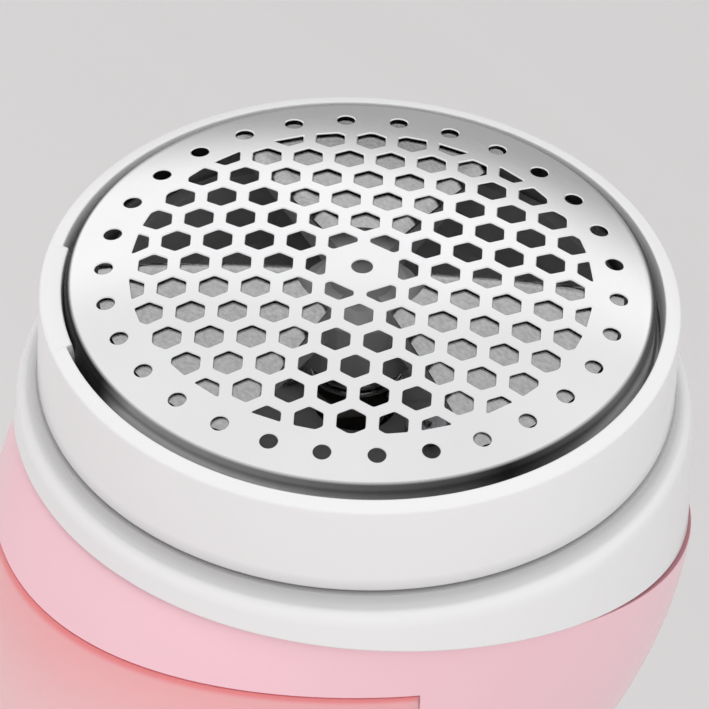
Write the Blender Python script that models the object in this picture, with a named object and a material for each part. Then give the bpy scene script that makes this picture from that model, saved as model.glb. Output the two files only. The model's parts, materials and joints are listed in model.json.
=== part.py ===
"""Handheld fabric shaver: a tilted cutting head on an upright handle with a flat base.

Dimensions are in millimetres and are turned into metres as each mesh is made. The handle stands on +Z with
the middle of its foot pad at the origin, and the head faces -Y and up. Head parts are drawn in the head
frame: its origin is the top of the foil, its +Z is the cutter's axis and its -Y points to the lint bin.
"""

import bmesh
import bpy
from math import atan2, cos, hypot, pi, radians, sin, sqrt, tau
from mathutils import Matrix, Vector
from mathutils.geometry import delaunay_2d_cdt

MM = 0.001
GAP = 0.3

HEAD_TILT = radians(45)
HEAD_Y = -29.0
HEAD_Z = 144.0

HOLE_PITCH = 4.0
HEX_ACROSS_FLATS = 2.7
HEX_FIELD_RADIUS = 22.2
BLANK_RADIUS = 3.75
CENTRE_HOLE_RADIUS = 1.0
ROUND_HOLE_COUNT = 30
ROUND_HOLE_RADIUS = 0.85
ROUND_HOLE_CIRCLE = 24.7
FOIL_TURN = radians(49.3)
ROUND_HOLE_TURN = radians(145.4)
FOIL_THICKNESS = 0.4
FOIL_EDGE_RADIUS = 26.4
FOIL_SHOULDER = 2.0
FOIL_FLANGE_RADIUS = 29.8
FOIL_FLANGE_Z = -7.0
DOME_SQUARE = 0.0031225
DOME_FOURTH = 8.28e-7

RING_WALL_INNER = 30.1
RIM_INNER_RADIUS = 29.3
RIM_OUTER_RADIUS = 30.8
RIM_INNER_Z = -3.7
RIM_OUTER_Z = -4.2
RING_BOTTOM_Z = -14.0
TAB_FROM = radians(220)
TAB_TO = radians(249.5)
RING_SIDES = 40
BAYONET_TURN = radians(30)
LUG_WIDTH = radians(19)
LUG_ANGLES = [radians(90 + 120 * i) for i in range(3)]
RETAINER_INNER = 28.2
RETAINER_OUTER = 29.8
RETAINER_TOP = FOIL_FLANGE_Z - 0.75

DECK_Z = -14.3
DECK_INNER = 27.3
DECK_UNDERSIDE = DECK_Z - 2.0
SHOULDER_Z = -17.2
COLLAR_RADIUS = 32.8
COLLAR_INNER = 31.9
SEAM_RADIUS = 33.1
SEAM_MID = -22.4
SEAM_SLOPE = 0.205
SEAM_BOW = 0.0029
SEAM_GAP = 1.0
COLLAR_SCREW_CIRCLE = 29.1
COLLAR_SCREW_ANGLES = [radians(a) for a in (110, 215, 325)]
COLLAR_SCREW_HOLE = 1.05

INTERLOCK_ANGLE = radians(60)
INTERLOCK_CIRCLE = 29.0
INTERLOCK_RISE = 1.2
PIN_RADIUS = 1.0
PIN_HOLE = 1.35
PIN_COLLAR = 1.7
PIN_COLLAR_Z = -19.2

CHAMBER_TOP_Z = -8.2
CHAMBER_FLOOR_Z = -17.4
CHAMBER_BASE_Z = CHAMBER_FLOOR_Z - 1.6
CHAMBER_INNER = 25.6
CHAMBER_OUTER = 26.9
SPOUT_FRONT = -22.6
SPOUT_BACK = -15.2
SPOUT_HALF_WIDTH = 11.0
SPOUT_WALL = 1.2

BLADE_COUNT = 3
BLADE_INNER = 6.3
BLADE_OUTER = 25.2
BLADE_HALF_ANGLE = radians(33)
BLADE_TOP_DROP = 0.75
BLADE_THICKNESS = 0.5
BLADE_TURN = radians(140)

MOTOR_FACE_Z = -19.9
MOTOR_LENGTH = 30.8
MOTOR_RADIUS = 12.2
MOTOR_SHEET = 0.8
SHAFT_RADIUS = 1.0
BUSH_INNER = SHAFT_RADIUS + 0.09
BUSH_OUTER = SHAFT_RADIUS + 2.0
BUSH_SEAT = BUSH_OUTER + GAP
MOTOR_SCREW_CIRCLE = 8.0
MOTOR_SCREW_ANGLES = [radians(20), radians(200)]

WALL = 2.0
BODY_SIDES = 36
HEAD_STATIONS = 9
GRIP_STATIONS = 3
LIP_OUTER = 31.6
LIP_INNER = 30.9
LIP_RISE = 1.3
FRONT_BENDS = ((-39.2, 91.0), (-20.5, 80.0))
BACK_BENDS = ((25.0, -25.0), (23.0, 94.0))
NECK_RADIUS = 32.6
NECK_EGG = 0.03
BIN_DROP = 6.3
BIN_BACK_Y = -14.5
BIN_FLOOR_Z = -52.0
BIN_WALL = 1.6
SPLIT_Y = HEAD_Y + BIN_BACK_Y * cos(HEAD_TILT) - BIN_FLOOR_Z * sin(HEAD_TILT)
GRIP_Z = 50.0
GRIP_RADIUS = 20.5
SHELL_BOTTOM_Z = 3.8
BASE_RADIUS = 26.0
CUTTER_WIDTH = 60.0
CUTTER_REACH = 90.0

BATTERY_RADIUS = 9.15
BATTERY_BOTTOM = 10.0
BATTERY_LENGTH = 65.0
BATTERY_Y = -1.0
BOARD_Y = 14.8
SOCKET_Z = 13.0
SWITCH_Z = 46.5
SWITCH_TRAVEL = 5.0
LENS_Z = 66.0
SHELL_BOSS_REACH = {17.0: 15.0, 63.0: 11.5}
SHELL_SCREWS = [(x, z) for z in SHELL_BOSS_REACH for x in (-14.0, 14.0)]
SHELL_SCREW_HOLE = 1.3


def material(name, colour, roughness, metallic=0.0):
    made = bpy.data.materials.new(name)
    made.use_nodes = True
    shader = made.node_tree.nodes["Principled BSDF"]
    shader.inputs["Base Color"].default_value = (*colour, 1.0)
    shader.inputs["Roughness"].default_value = roughness
    shader.inputs["Metallic"].default_value = metallic
    made.diffuse_color = (*colour, 1.0)
    return made


def add_object(name, verts, faces, mat=None, parent=None, place=(0, 0, 0)):
    """An object from points in millimetres, with its faces made to point out."""
    mesh = bpy.data.meshes.new(name)
    mesh.from_pydata([Vector(v) * MM for v in verts], [], faces)
    work = bmesh.new()
    work.from_mesh(mesh)
    bmesh.ops.recalc_face_normals(work, faces=work.faces)
    work.to_mesh(mesh)
    work.free()
    mesh.shade_smooth()
    mesh.set_sharp_from_angle(angle=radians(35))
    obj = bpy.data.objects.new(name, mesh)
    obj.location = Vector(place) * MM
    obj.parent = parent
    bpy.context.scene.collection.objects.link(obj)
    if mat:
        mesh.materials.append(mat)
    return obj


def hide(obj):
    obj.hide_render = True
    obj.display_type = "WIRE"
    return obj


def boolean(obj, other, operation):
    """One Boolean step. The exact solver leaves slits in the rear shell's thin lip, where posts meet it."""
    step = obj.modifiers.new(other.name, "BOOLEAN")
    step.operation = operation
    step.object = hide(other)
    step.solver = "MANIFOLD" if obj.name == "rear_shell" else "EXACT"


def cut(obj, *cutters):
    for other in cutters:
        boolean(obj, other, "DIFFERENCE")
    return obj


def join(obj, *others):
    for other in others:
        boolean(obj, other, "UNION")
    return obj


def keep(obj, other):
    boolean(obj, other, "INTERSECT")
    return obj


def lathe(profile, sides, loop=True):
    """Points and faces of a turned solid. A height may be a function of the angle; radius 0 is one point."""
    rings = []
    verts = []
    for radius, height in profile:
        if radius == 0:
            rings.append([len(verts)] * sides)
            verts.append((0, 0, height))
            continue
        rings.append(range(len(verts), len(verts) + sides))
        for i in range(sides):
            angle = tau * i / sides
            z = height(angle) if callable(height) else height
            verts.append((radius * cos(angle), radius * sin(angle), z))
    faces = []
    pairs = list(zip(rings, rings[1:] + rings[:1] if loop else rings[1:]))
    for low, high in pairs:
        for i in range(sides):
            j = (i + 1) % sides
            corners = list(dict.fromkeys((low[i], low[j], high[j], high[i])))
            if len(corners) > 2:
                faces.append(corners)
    return verts, faces


def turned(name, profile, sides, mat=None, parent=None, place=(0, 0, 0), loop=True):
    return add_object(name, *lathe(profile, sides, loop), mat, parent, place)


def rod(name, radius, low, high, sides=16, mat=None, parent=None, place=(0, 0, 0)):
    profile = [(0, low), (radius, low), (radius, high), (0, high)]
    return turned(name, profile, sides, mat, parent, place, loop=False)


def tube(name, inner, outer, low, high, sides=24, mat=None, parent=None, place=(0, 0, 0)):
    profile = [(outer, low), (outer, high), (inner, high), (inner, low)]
    return turned(name, profile, sides, mat, parent, place)


def block(name, low, high, mat=None, parent=None, place=(0, 0, 0)):
    verts = [(x, y, z) for x in (low[0], high[0]) for y in (low[1], high[1]) for z in (low[2], high[2])]
    faces = [(0, 1, 3, 2), (4, 6, 7, 5), (0, 4, 5, 1), (2, 3, 7, 6), (0, 2, 6, 4), (1, 5, 7, 3)]
    return add_object(name, verts, faces, mat, parent, place)


def prism(name, outline, half_width, mat=None, parent=None):
    """A solid with an outline in Y and Z, carried straight along X."""
    count = len(outline)
    verts = [(side * half_width, y, z) for side in (-1, 1) for y, z in outline]
    faces = [range(count), range(count, 2 * count)]
    faces += [(i, (i + 1) % count, count + (i + 1) % count, count + i) for i in range(count)]
    return add_object(name, verts, faces, mat, parent)


def sector(name, radii, angles, heights, steps=4, mat=None, parent=None, rows=1):
    """A curved block between two radii and two angles. A height may be a function of the radius."""
    verts = []
    for height in heights:
        for i in range(rows + 1):
            radius = radii[0] + (radii[1] - radii[0]) * i / rows
            z = height(radius) if callable(height) else height
            for j in range(steps + 1):
                verts.append(polar(radius, angles[0] + (angles[1] - angles[0]) * j / steps, z))
    across = steps + 1
    layer = across * (rows + 1)
    faces = []
    for i in range(rows):
        for j in range(steps):
            a = i * across + j
            faces.append((a, a + 1, a + across + 1, a + across))
            faces.append((layer + a, layer + a + across, layer + a + across + 1, layer + a + 1))
    edge = [j for j in range(across)]
    edge += [i * across + steps for i in range(1, rows + 1)]
    edge += [rows * across + j for j in range(steps - 1, -1, -1)]
    edge += [i * across for i in range(rows - 1, 0, -1)]
    faces += [(a, b, layer + b, layer + a) for a, b in zip(edge, edge[1:] + edge[:1])]
    return add_object(name, verts, faces, mat, parent)


def coil(name, radius, wire, low, high, turns, mat, parent, place=(0, 0, 0), sides=5, steps=10):
    """A compression spring of round wire, closed with a flat end at each tip."""
    verts = []
    count = int(turns * steps)
    for i in range(count + 1):
        angle = tau * i / steps
        middle = Vector((radius * cos(angle), radius * sin(angle), low + (high - low) * i / count))
        outward = Vector((cos(angle), sin(angle), 0))
        for k in range(sides):
            around = tau * k / sides
            verts.append(middle + wire * (outward * cos(around) + Vector((0, 0, sin(around)))))
    faces = [range(sides), range(count * sides, (count + 1) * sides)]
    for i in range(count):
        for k in range(sides):
            a = i * sides + k
            b = i * sides + (k + 1) % sides
            faces.append((a, b, b + sides, a + sides))
    return add_object(name, verts, faces, mat, parent, place)


def wire(name, points, radius, mat):
    """An insulated wire through the points, as a bevelled curve with filled ends."""
    curve = bpy.data.curves.new(name, "CURVE")
    curve.dimensions = "3D"
    curve.resolution_u = 4
    curve.bevel_depth = radius * MM
    curve.bevel_resolution = 1
    curve.use_fill_caps = True
    spline = curve.splines.new("BEZIER")
    spline.bezier_points.add(len(points) - 1)
    for knot, point in zip(spline.bezier_points, points):
        knot.co = Vector(point) * MM
        knot.handle_left_type = "AUTO"
        knot.handle_right_type = "AUTO"
    curve.materials.append(mat)
    obj = bpy.data.objects.new(name, curve)
    bpy.context.scene.collection.objects.link(obj)
    return obj


def polar(radius, angle, z=0.0):
    return (radius * cos(angle), radius * sin(angle), z)


def seam_height(y):
    """Height of the collar's lower edge in the head frame, which dips towards the back."""
    return SEAM_MID - SEAM_SLOPE * y - SEAM_BOW * y * y


def dome(r):
    """Height of the foil's outer face at a radius."""
    return -DOME_SQUARE * r**2 - DOME_FOURTH * r**4


def head_to_world(y, z):
    """World (y, z) of a point in the head frame's middle plane."""
    return (
        HEAD_Y + y * cos(HEAD_TILT) - z * sin(HEAD_TILT),
        HEAD_Z + y * sin(HEAD_TILT) + z * cos(HEAD_TILT),
    )


# ---- shaving foil ----------------------------------------------------------------------------------------


def clipped(outline, radius, inside):
    """The part of a polygon inside, or outside, a circle about the middle."""

    def kept(p):
        return (hypot(*p) <= radius) == inside

    result = []
    for p, q in zip(outline, outline[1:] + outline[:1]):
        if kept(p):
            result.append(p)
        if kept(p) != kept(q):
            dx, dy = q[0] - p[0], q[1] - p[1]
            a = dx * dx + dy * dy
            b = p[0] * dx + p[1] * dy
            c = p[0] ** 2 + p[1] ** 2 - radius**2
            root = sqrt(b * b - a * c)
            t = min(t for t in ((-b - root) / a, (-b + root) / a) if 0 <= t <= 1)
            result.append((p[0] + t * dx, p[1] + t * dy))
    return result


def circle(x, y, radius, sides, start=0.0):
    angles = [start + tau * k / sides for k in range(sides)]
    return [(x + radius * cos(angle), y + radius * sin(angle)) for angle in angles]


def area(outline):
    return sum(p[0] * q[1] - q[0] * p[1] for p, q in zip(outline, outline[1:] + outline[:1])) / 2


def hex_holes():
    """Outlines of the hexagonal holes, cut off at the edge of their field and at the blank middle."""
    corner = HEX_ACROSS_FLATS / sqrt(3)
    reach = int(HEX_FIELD_RADIUS / HOLE_PITCH) + 2
    turn = Matrix.Rotation(FOIL_TURN, 2)
    holes = []
    for row in range(-reach, reach + 1):
        for column in range(-2 * reach, 2 * reach + 1):
            x = HOLE_PITCH * (column + row / 2)
            y = HOLE_PITCH * row * sqrt(3) / 2
            if hypot(x, y) > HEX_FIELD_RADIUS + corner:
                continue
            outline = circle(x, y, corner, 6, pi / 6)
            outline = clipped(outline, HEX_FIELD_RADIUS, inside=True)
            outline = clipped(outline, BLANK_RADIUS, inside=False) if len(outline) > 2 else outline
            if len(outline) > 2 and abs(area(outline)) > 1.0:
                holes.append([tuple(turn @ Vector(p)) for p in outline])
    return holes


def make_foil(steel, head):
    """A pressed dome of thin steel: a flat pattern of holes, lifted on to the dome and rolled to a flange."""
    holes = hex_holes()
    holes.append(circle(0, 0, CENTRE_HOLE_RADIUS, 12))
    for k in range(ROUND_HOLE_COUNT):
        x, y, _ = polar(ROUND_HOLE_CIRCLE, ROUND_HOLE_TURN + tau * k / ROUND_HOLE_COUNT)
        holes.append(circle(x, y, ROUND_HOLE_RADIUS, 8))
    edge = circle(0, 0, FOIL_EDGE_RADIUS, RING_SIDES)
    points = [Vector(p) for p in edge]
    rings = []
    for outline in holes:
        rings.append(list(range(len(points), len(points) + len(outline))))
        points += [Vector(p) for p in outline]
    rim = [(i, (i + 1) % RING_SIDES) for i in range(RING_SIDES)]
    flat, _, triangles, _, _, owners = delaunay_2d_cdt(points, rim, rings, 0, 1e-6)
    triangles = [t for t, owner in zip(triangles, owners) if not owner]

    count = len(flat)
    verts = [(p.x, p.y, dome(p.length)) for p in flat]
    verts += [(p.x, p.y, dome(p.length) - FOIL_THICKNESS) for p in flat]
    faces = [tuple(t) for t in triangles]
    faces += [tuple(count + i for i in reversed(t)) for t in triangles]
    edges = {(t[i], t[(i + 1) % 3]) for t in triangles for i in range(3)}
    open_edges = [(a, b) for a, b in edges if (b, a) not in edges]
    outer = {i for i, p in enumerate(flat) if p.length > FOIL_EDGE_RADIUS - 0.01}
    faces += [(b, a, count + a, count + b) for a, b in open_edges if not (a in outer and b in outer)]

    centre_z = dome(FOIL_EDGE_RADIUS) - FOIL_SHOULDER
    wall = FOIL_EDGE_RADIUS + FOIL_SHOULDER
    inner = FOIL_SHOULDER - FOIL_THICKNESS

    def shoulder(radius, *angles):
        return [(FOIL_EDGE_RADIUS + radius * cos(a), centre_z + radius * sin(a)) for a in angles]

    path = shoulder(FOIL_SHOULDER, pi / 4, 0)
    path += [(wall, FOIL_FLANGE_Z), (FOIL_FLANGE_RADIUS, FOIL_FLANGE_Z)]
    path.append((FOIL_FLANGE_RADIUS, FOIL_FLANGE_Z - FOIL_THICKNESS))
    path.append((wall - FOIL_THICKNESS, FOIL_FLANGE_Z - FOIL_THICKNESS))
    path += shoulder(inner, 0, pi / 4)
    order = sorted(outer, key=lambda i: atan2(flat[i].y, flat[i].x) % tau)
    loops = [order]
    for radius, z in path:
        loops.append(range(len(verts), len(verts) + RING_SIDES))
        verts += [polar(radius, atan2(flat[i].y, flat[i].x), z) for i in order]
    loops.append([count + i for i in order])
    for low, high in zip(loops, loops[1:]):
        for i in range(RING_SIDES):
            j = (i + 1) % RING_SIDES
            faces.append((low[i], high[i], high[j], low[j]))
    return add_object("shaving_foil", verts, faces, steel, head)


# ---- head ------------------------------------------------------------------------------------------------


def make_head_ring(plastic, head):
    profile = [
        (RIM_INNER_RADIUS, RIM_INNER_Z - 0.2),
        (RIM_INNER_RADIUS + 0.2, RIM_INNER_Z),
        (RIM_OUTER_RADIUS - 0.25, RIM_OUTER_Z),
        (RIM_OUTER_RADIUS, RIM_OUTER_Z - 0.25),
        (RIM_OUTER_RADIUS, RING_BOTTOM_Z + 0.5),
        (RIM_OUTER_RADIUS - 0.35, RING_BOTTOM_Z),
        (RING_WALL_INNER, RING_BOTTOM_Z),
        (RING_WALL_INNER, FOIL_FLANGE_Z + 0.4),
        (RIM_INNER_RADIUS, FOIL_FLANGE_Z + 0.4),
    ]
    ring = turned("head_ring", profile, RING_SIDES, plastic, head)
    radii = (FOIL_EDGE_RADIUS + FOIL_SHOULDER + GAP, RIM_INNER_RADIUS + 0.5)
    heights = (FOIL_FLANGE_Z + 0.5, RIM_INNER_Z - 0.15)
    return join(ring, sector("tab", radii, (TAB_FROM, TAB_TO), heights, 4, None, head))


def make_foil_retainer(plastic, head):
    """Holds the foil from below. Its lugs lock under the chamber's, and its ramp drives the pin."""
    bottom = RING_BOTTOM_Z + 0.5
    reach = BAYONET_TURN + radians(5)
    start = INTERLOCK_ANGLE - reach

    def skirt(angle):
        along = (INTERLOCK_ANGLE + radians(1) - angle) / reach
        return bottom + (INTERLOCK_RISE + 0.2) * along if start <= angle <= INTERLOCK_ANGLE else bottom

    profile = [(RETAINER_OUTER, skirt), (RETAINER_OUTER, RETAINER_TOP)]
    profile += [(RETAINER_INNER, RETAINER_TOP), (RETAINER_INNER, skirt)]
    ring = turned("foil_retainer", profile, 72, plastic, head)
    for i, angle in enumerate(LUG_ANGLES):
        sides = (angle - LUG_WIDTH / 2, angle + LUG_WIDTH / 2)
        radii = (RETAINER_INNER - 0.9, RETAINER_INNER + 0.7)
        join(ring, sector(f"retainer_lug_{i}", radii, sides, (-13.2, -12.0), 3, None, head))
    return ring


def make_collar(plastic, head):
    def bottom(radius):
        return lambda angle: seam_height(radius * sin(angle))

    shoulder_start = RIM_OUTER_RADIUS + 0.1
    profile = [(DECK_INNER, DECK_UNDERSIDE), (DECK_INNER, DECK_Z), (shoulder_start, DECK_Z)]
    for k in range(1, 4):
        angle = k * pi / 6
        radius = shoulder_start + (COLLAR_RADIUS - shoulder_start) * sin(angle)
        profile.append((radius, SHOULDER_Z + (DECK_Z - SHOULDER_Z) * cos(angle)))
    profile += [(SEAM_RADIUS, bottom(SEAM_RADIUS)), (COLLAR_INNER, bottom(COLLAR_INNER))]
    profile.append((COLLAR_INNER, DECK_UNDERSIDE))
    collar = turned("head_collar", profile, RING_SIDES, plastic, head)
    above = DECK_Z + 0.8
    sink = [(0, -17.5), (COLLAR_SCREW_HOLE, -17.5), (COLLAR_SCREW_HOLE, -15.6), (1.65, -15.0)]
    sink += [(1.65, above), (0, above)]
    for i, angle in enumerate(COLLAR_SCREW_ANGLES):
        cut(collar, turned(f"sink_{i}", sink, 16, None, head, polar(COLLAR_SCREW_CIRCLE, angle), loop=False))
    pin_at = polar(INTERLOCK_CIRCLE, INTERLOCK_ANGLE)
    return cut(collar, rod("pin_hole", PIN_HOLE, -17.0, above, 16, None, head, pin_at))


def make_chamber(plastic, head):
    """The cup under the blades, with a floor for the motor, a flange under the collar and a lint spout."""
    floor, flange_top, bore = CHAMBER_FLOOR_Z, DECK_UNDERSIDE - GAP, 4.0
    profile = [
        (bore, floor),
        (CHAMBER_INNER, floor),
        (CHAMBER_INNER, CHAMBER_TOP_Z),
        (CHAMBER_OUTER, CHAMBER_TOP_Z),
        (CHAMBER_OUTER, flange_top),
        (30.3, flange_top),
        (30.3, floor),
        (29.2, CHAMBER_BASE_Z),
        (bore, CHAMBER_BASE_Z),
    ]
    cup = turned("cutter_chamber", profile, 36, plastic, head)
    for i, angle in enumerate(LUG_ANGLES):
        sides = (angle - LUG_WIDTH / 2, angle + LUG_WIDTH / 2)
        radii = (CHAMBER_OUTER - 0.6, CHAMBER_OUTER + 1.0)
        join(cup, sector(f"cup_lug_{i}", radii, sides, (-11.5, -10.0), 3, None, head))
    outer = (SPOUT_HALF_WIDTH, SPOUT_FRONT, SPOUT_BACK)
    inner = (outer[0] - SPOUT_WALL, outer[1] + SPOUT_WALL, outer[2] - SPOUT_WALL)

    def spout(half, front, back, high, drop):
        low_front = seam_height(front) - BIN_DROP + drop
        low_back = seam_height(back) - BIN_DROP + drop
        return [(front, high), (front, low_front), (back, low_back), (back, high)], half

    join(cup, prism("spout", *spout(*outer, floor - 0.8, 1.9), None, head))
    cut(cup, prism("spout_way", *spout(*inner, floor + 0.5, -5.0), None, head))
    low, high = CHAMBER_BASE_Z - 1.0, flange_top + 0.6
    for i, angle in enumerate(MOTOR_SCREW_ANGLES):
        place = polar(MOTOR_SCREW_CIRCLE, angle)
        cut(cup, rod(f"motor_screw_hole_{i}", 1.5, low, high, 12, None, head, place))
    for i, angle in enumerate(COLLAR_SCREW_ANGLES):
        place = polar(COLLAR_SCREW_CIRCLE, angle)
        cut(cup, rod(f"flange_hole_{i}", COLLAR_SCREW_HOLE, low, high, 12, None, head, place))
    place = polar(INTERLOCK_CIRCLE, INTERLOCK_ANGLE)
    pocket_top = PIN_COLLAR_Z + INTERLOCK_RISE + GAP
    pocket = [(0, low), (PIN_COLLAR + GAP, low), (PIN_COLLAR + GAP, pocket_top)]
    pocket += [(PIN_HOLE, pocket_top), (PIN_HOLE, high), (0, high)]
    return cut(cup, turned("pin_pocket", pocket, 14, None, head, place, loop=False))


def make_blades(steel, plastic, head):
    def blade_top(r):
        return dome(r) - BLADE_TOP_DROP

    def blade_base(r):
        return dome(r) - BLADE_TOP_DROP - BLADE_THICKNESS

    def arm_top(r):
        return blade_base(r) - GAP

    profile = [(0, -2.0), (4.4, -2.0), (6.0, -3.4), (6.0, -9.8), (0, -9.8)]
    carrier = turned("blade_carrier", profile, 24, plastic, head, loop=False)
    for i in range(BLADE_COUNT):
        middle = BLADE_TURN + tau * i / BLADE_COUNT
        sides = (middle - BLADE_HALF_ANGLE, middle + BLADE_HALF_ANGLE)
        radii = (BLADE_INNER, BLADE_OUTER)
        sector(f"blade_{i + 1}", radii, sides, (blade_base, blade_top), 6, steel, head, 5)
        sides = (sides[0] + radians(4), sides[1] - radians(4))
        join(carrier, sector(f"arm_{i}", (3.0, BLADE_OUTER - 1.0), sides, (-5.6, arm_top), 4, None, head, 3))
    return cut(carrier, rod("drive_bore", 3.55, -11.0, -3.0, 6, None, head))


def make_drive(brass, spring_steel, head):
    bore = SHAFT_RADIUS + 0.25
    profile = [(0, -4.9), (3.1, -4.9), (3.1, -14.0), (5.2, -14.0), (5.2, -15.2)]
    profile += [(bore, -15.2), (bore, -6.0), (0, -6.0)]
    turned("drive_hub", profile, 6, brass, head, loop=False)
    coil("blade_spring", 4.4, 0.32, -13.3, -10.5, 3.0, spring_steel, head)


def make_interlock(plastic, dark, spring_steel, head):
    """The pin that the ring holds down, with its return spring and the safety switch under it."""
    place = polar(INTERLOCK_CIRCLE, INTERLOCK_ANGLE)
    foot = PIN_COLLAR_Z - 0.8
    pin = [(0, -13.85), (0.75, -13.85), (PIN_RADIUS, -14.1), (PIN_RADIUS, PIN_COLLAR_Z)]
    pin += [(PIN_COLLAR, PIN_COLLAR_Z), (PIN_COLLAR, foot), (0, foot)]
    turned("interlock_pin", pin, 12, plastic, head, place, loop=False)
    coil("interlock_spring", 1.1, 0.2, -22.1, -20.5, 2.5, spring_steel, head, place)
    middle = polar(INTERLOCK_CIRCLE - 1.4, INTERLOCK_ANGLE)
    switch = block("interlock_switch", (-3.0, -1.9, -26.5), (3.0, 1.9, -22.5), dark, head, middle)
    switch.rotation_euler.z = INTERLOCK_ANGLE + pi / 2


def make_motor(steel, plastic, brass, rubber, dark, head):
    face, back = MOTOR_FACE_Z, MOTOR_FACE_Z - MOTOR_LENGTH
    inner = MOTOR_RADIUS - MOTOR_SHEET
    can = [(BUSH_SEAT, face), (inner, face), (MOTOR_RADIUS, face - MOTOR_SHEET), (MOTOR_RADIUS, back)]
    can += [(inner, back), (inner, face - 0.9), (BUSH_SEAT, face - 0.9)]
    shell = turned("motor_can", can, 24, steel, head)
    for i, angle in enumerate(MOTOR_SCREW_ANGLES):
        place = polar(MOTOR_SCREW_CIRCLE, angle)
        cut(shell, rod(f"can_hole_{i}", 1.4, face - 2.0, face + 1.0, 12, None, head, place))
        screw = [(0, -22.0), (1.0, -22.0), (1.0, -17.1), (2.1, -17.1), (2.1, -16.1)]
        screw += [(0.6, -16.1), (0, -16.5)]
        turned(f"motor_screw_{i + 1}", screw, 12, steel, head, place, loop=False)
    tube("motor_bush_front", BUSH_INNER, BUSH_OUTER, face - 1.6, face + 1.6, 24, brass, head)
    plug = inner - GAP
    cap = [(BUSH_SEAT, back + 1.4), (plug, back + 1.4), (plug, back - GAP)]
    cap += [(MOTOR_RADIUS - 0.2, back - GAP), (MOTOR_RADIUS - 0.6, back - 1.8), (BUSH_SEAT, back - 2.2)]
    turned("motor_end_cap", cap, 24, plastic, head)
    tube("motor_bush_rear", BUSH_INNER, BUSH_OUTER, back - 2.0, back + 1.0, 24, brass, head)
    rod("motor_shaft", SHAFT_RADIUS, back - 1.4, -6.3, 16, steel, head)
    armature = tube("motor_armature", SHAFT_RADIUS + 0.2, 8.6, back + 7.0, face - 4.0, 24, dark, head)
    for i in range(3):
        angle = tau * i / 3
        slot = block(f"slot_{i}", (6.6, -0.7, back + 5.0), (9.5, 0.7, face - 2.0), None, head)
        slot.rotation_euler.z = angle
        cut(armature, slot)
    for i, middle in enumerate((0.0, pi)):
        sides = (middle - radians(62), middle + radians(62))
        sector(f"motor_magnet_{i + 1}", (9.3, plug), sides, (back + 6.0, face - 3.0), 10, dark, head)
    tube("motor_sleeve", MOTOR_RADIUS + GAP, 14.0, -48.0, -40.0, 24, rubber, head)


def make_collar_screws(steel, head):
    profile = [(0, -14.45), (1.35, -14.45), (1.35, -14.9), (0.75, -15.5), (0.75, -25.0), (0, -25.6)]
    for i, angle in enumerate(COLLAR_SCREW_ANGLES):
        place = polar(COLLAR_SCREW_CIRCLE, angle)
        turned(f"collar_screw_{i + 1}", profile, 12, steel, head, place, loop=False)


# ---- body ------------------------------------------------------------------------------------------------


def bezier(points, t):
    s = 1 - t
    shares = (s**3, 3 * s * s * t, 3 * s * t * t, t**3)
    return sum((Vector(point) * share for point, share in zip(points, shares)), Vector((0, 0)))


def body_sections():
    """Front, back, half width, bow and egg shape of each cross-section, from the seam to the base."""
    front = head_to_world(-NECK_RADIUS, seam_height(-NECK_RADIUS) - SEAM_GAP)
    back = head_to_world(SEAM_RADIUS, seam_height(SEAM_RADIUS) - SEAM_GAP)
    bow = SEAM_BOW * NECK_RADIUS**2
    front_curve = (front, *FRONT_BENDS, (-GRIP_RADIUS, GRIP_Z))
    back_curve = (back, Vector(back) + Vector(BACK_BENDS[0]), BACK_BENDS[1], (GRIP_RADIUS, GRIP_Z))
    widths = [(w, 0) for w in (NECK_RADIUS, NECK_RADIUS - 1.8, GRIP_RADIUS, GRIP_RADIUS)]
    sections = []
    for i in range(HEAD_STATIONS + 1):
        t = i / HEAD_STATIONS
        width = bezier(widths, t).x
        fade = (1 - t) ** 2
        sections.append((bezier(front_curve, t), bezier(back_curve, t), width, bow * fade, NECK_EGG * fade))
    for i in range(1, GRIP_STATIONS + 1):
        t = i / GRIP_STATIONS
        z = GRIP_Z + (SHELL_BOTTOM_Z - GRIP_Z) * t
        radius = GRIP_RADIUS + (BASE_RADIUS - GRIP_RADIUS) * (1 - cos(pi * t / 2)) * (0.75 + 0.25 * t)
        sections.append(((-radius, z), (radius, z), radius, 0.0, 0.0))
    return sections


def section_ring(front, back, width, bow, egg, inset):
    middle = Vector((0, (front[0] + back[0]) / 2, (front[1] + back[1]) / 2))
    along = Vector((0, back[0] - front[0], back[1] - front[1]))
    depth = along.length / 2
    along.normalize()
    up = Vector((1, 0, 0)).cross(along)
    ring = []
    for i in range(BODY_SIDES):
        angle = tau * i / BODY_SIDES
        side = (width - inset) * cos(angle) * (1 + egg * sin(angle))
        point = middle + Vector((side, 0, 0)) + along * (depth - inset) * sin(angle)
        ring.append(point + up * bow * cos(angle) ** 2)
    return ring


def skin(inset):
    """Rings of points down the body, this far inside its outer face."""
    return [section_ring(*section, inset) for section in body_sections()]


def strips(rings):
    """Faces between each ring of points and the next. A last ring that is the first one closes the loop."""
    count = BODY_SIDES * (len(rings) - (rings[-1] is rings[0]))
    faces = []
    for start in range(0, BODY_SIDES * (len(rings) - 1), BODY_SIDES):
        after = (start + BODY_SIDES) % count
        for j in range(BODY_SIDES):
            k = (j + 1) % BODY_SIDES
            faces.append((start + j, start + k, after + k, after + j))
    return faces


def body_solid(name, inset, mat=None):
    """The space inside the body's skin, closed at the seam and at the base."""
    rings = skin(inset)
    verts = [point for ring in rings for point in ring]
    faces = strips(rings)
    last = len(verts) - BODY_SIDES
    top = sum(rings[0], Vector()) / BODY_SIDES
    verts.append(top)
    faces += [(i, (i + 1) % BODY_SIDES, len(verts) - 1) for i in range(BODY_SIDES)]
    faces.append(range(last, last + BODY_SIDES))
    return add_object(name, verts, faces, mat)


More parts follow.
